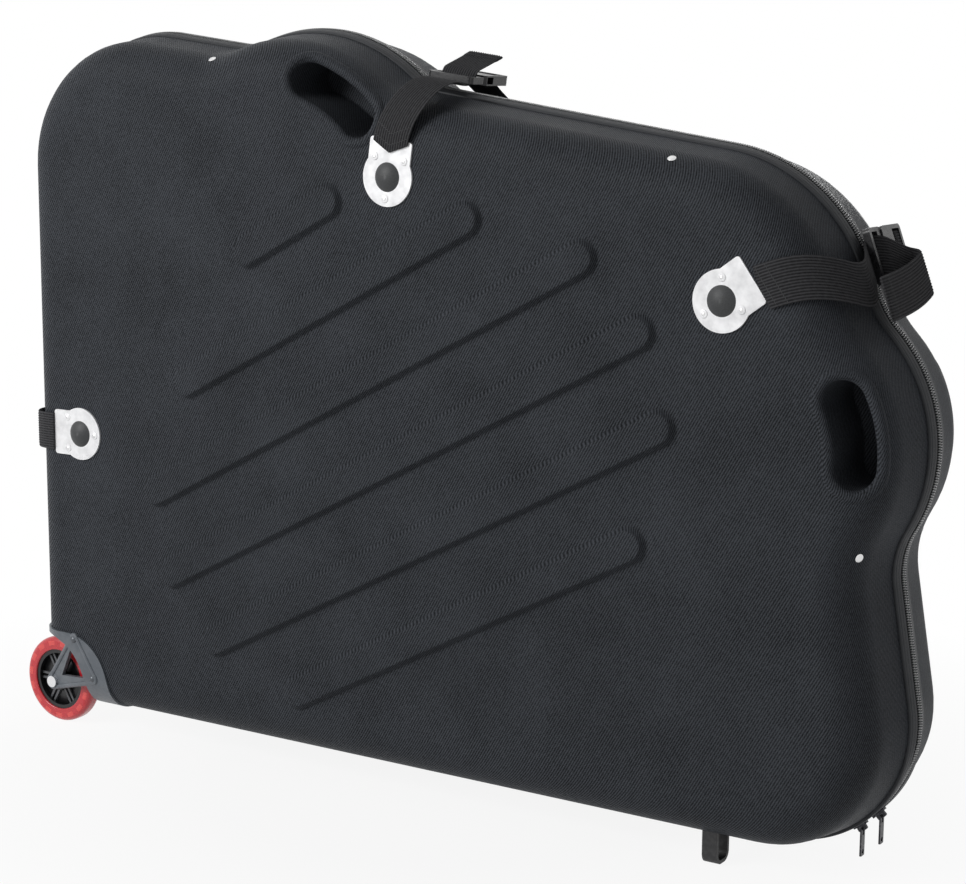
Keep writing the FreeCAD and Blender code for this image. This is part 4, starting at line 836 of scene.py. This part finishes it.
foot_rubber = finish("foot_rubber", (0.014, 0.014, 0.015), 0.6)
spot = where(foot_rubber)
scuff = ranged(foot_rubber, noise(foot_rubber, spot, 140.0), 0.45, 0.75, 0.0, 1.0)
feed(foot_rubber, "Base Color", shades(foot_rubber, scuff, (0.012, 0.012, 0.013), (0.045, 0.045, 0.047)))
bump(foot_rubber, noise(foot_rubber, spot, 1600.0, 2.0), 0.00012)
dress(foot_rubber, "front_foot", "back_foot")


# Zip sliders and pulls: die-cast zinc bodies and tabs, plated black and worn brighter in spots. Each tab
# hangs from the bridge of its slider at the low end of the zip.

pull_plating = finish("pull_plating", (0.07, 0.07, 0.075), 0.3, Metallic=0.85)
spot = where(pull_plating)
wear = ranged(pull_plating, noise(pull_plating, spot, 260.0), 0.55, 0.80, 0.0, 1.0)
feed(pull_plating, "Base Color", shades(pull_plating, wear, (0.030, 0.030, 0.034), (0.16, 0.16, 0.17)))
feed(pull_plating, "Roughness", ranged(pull_plating, wear, 0.0, 1.0, 0.26, 0.42))
dress(pull_plating, "zip_slider_1", "zip_slider_2", "zip_pull_1", "zip_pull_2")


# Tie straps: two lengths of the same webbing inside the back shell, to hold what is packed. They are sewn
# down at both ends and stand off a little between them, by the root of a sine.

tie_steps = 180
tie_sink, tie_sag = 0.0016, 0.0010
share, rise = web_profile()
for number in (1, 2):
    low, high = (np.array(corner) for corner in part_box("tie_strap_%d" % number))
    places = np.linspace(0.0, 1.0, tie_steps)[:, None]
    slack = tie_sink + tie_sag * np.sin(np.pi * places) ** 0.5
    across, upwards = share * (high[0] - low[0]) / 2, (high[2] - low[2]) * places
    points = np.stack(np.broadcast_arrays((low[0] + high[0]) / 2 + across, high[1] - slack - rise,
                                          low[2] + upwards), -1)
    lay = np.stack(np.broadcast_arrays(across, upwards, 0.0), -1)
    tie = piece("tie_web_%d" % number, points, swept_faces(tie_steps, len(share)), web_black, "back_half",
                "webbing", web_place=lay)
    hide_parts("tie_strap_%d" % number)


# Studio: a pale floor that runs into a white backdrop, a large soft key from the upper left, a weaker
# fill, an overhead panel and one for the back.

floor_reach = 9.0
floor_shade, shade_reach, white_reach = 0.88, 0.3, 1.1
sky_light = 0.17
floor_mesh = bpy.data.meshes.new("studio_floor")
corners = np.array([(-1, -1), (1, -1), (1, 1), (-1, 1)]) * floor_reach
floor_mesh.from_pydata([(x, y, 0.0) for x, y in corners.tolist()], [], [(0, 1, 2, 3)])
studio_floor = bpy.data.objects.new("studio_floor", floor_mesh)
bpy.context.scene.collection.objects.link(studio_floor)


def seen_rays(material):
    """1 for a ray that shows in the picture: straight from the camera, mirrored in gloss or through glass."""
    path = node(material, "LightPath").outputs
    mirrored = maths(material, "MAXIMUM", path["Is Glossy Ray"], path["Is Transmission Ray"])
    return maths(material, "MAXIMUM", path["Is Camera Ray"], mirrored)


floor_white = finish("floor_white", (0.9, 0.9, 0.9), 0.9)
tree = floor_white.node_tree
glow = node(floor_white, "Emission", {"Color": (1.0, 1.0, 1.0, 1.0), "Strength": 1.0}).outputs[0]
from_middle = node(floor_white, "VectorMath", {0: where(floor_white)}, operation="LENGTH").outputs["Value"]
far = ranged(floor_white, from_middle, shade_reach, white_reach, floor_shade, 1.0)
glowing = maths(floor_white, "MULTIPLY", seen_rays(floor_white), far)
plain = tree.nodes["Principled BSDF"].outputs[0]
mixed = node(floor_white, "MixShader", {0: glowing, 1: plain, 2: glow}).outputs[0]
tree.links.new(mixed, tree.nodes["Material Output"].inputs["Surface"])
floor_mesh.materials.append(floor_white)

world = bpy.data.worlds.new("studio_world")
world.use_nodes = True
bpy.context.scene.world = world
sky = world.node_tree.nodes["Background"]
sky.inputs["Color"].default_value = (1.0, 1.0, 1.0, 1.0)
world.node_tree.links.new(ranged(world, seen_rays(world), 0.0, 1.0, sky_light, 1.0), sky.inputs["Strength"])


def panel(name, place, aim, size, power):
    """Square soft light at a place, turned towards a point."""
    lamp = bpy.data.lights.new(name, "AREA")
    lamp.size, lamp.energy = size, power
    made = bpy.data.objects.new(name, lamp)
    made.location = place
    made.rotation_euler = (Vector(aim) - Vector(place)).to_track_quat("-Z", "Y").to_euler()
    bpy.context.scene.collection.objects.link(made)


panel("key_panel", (-1.9, -3.1, 2.2), (-0.1, 0.0, 0.5), 1.8, 82.0)
panel("fill_panel", (3.2, -2.2, 1.6), (0.0, 0.0, 0.4), 2.0, 1.5)
panel("top_panel", (-0.6, 0.2, 3.2), (0.0, 0.0, 0.5), 2.0, 3.0)
panel("back_panel", (-0.8, 3.3, 0.8), (0.0, 0.0, 0.5), 1.4, 34.0)


# Camera: the front half seen from its right and a little above, through a long lens that keeps the edges
# of the case nearly parallel.

camera_place = Vector((1.4445, -2.1665, 0.8935))
camera_right = Vector((0.84133, 0.54049, 0.00603))
camera_up = Vector((-0.09773, 0.14115, 0.98515))
lens = bpy.data.cameras.new("photo_camera")
lens.sensor_width, lens.lens = 36.0, 78.64
camera = bpy.data.objects.new("photo_camera", lens)
columns = Matrix((camera_right, camera_up, camera_right.cross(camera_up))).transposed()
camera.matrix_world = Matrix.Translation(camera_place) @ columns.to_4x4()
bpy.context.scene.collection.objects.link(camera)
bpy.context.scene.camera = camera
bpy.context.scene.view_settings.view_transform = "Standard"
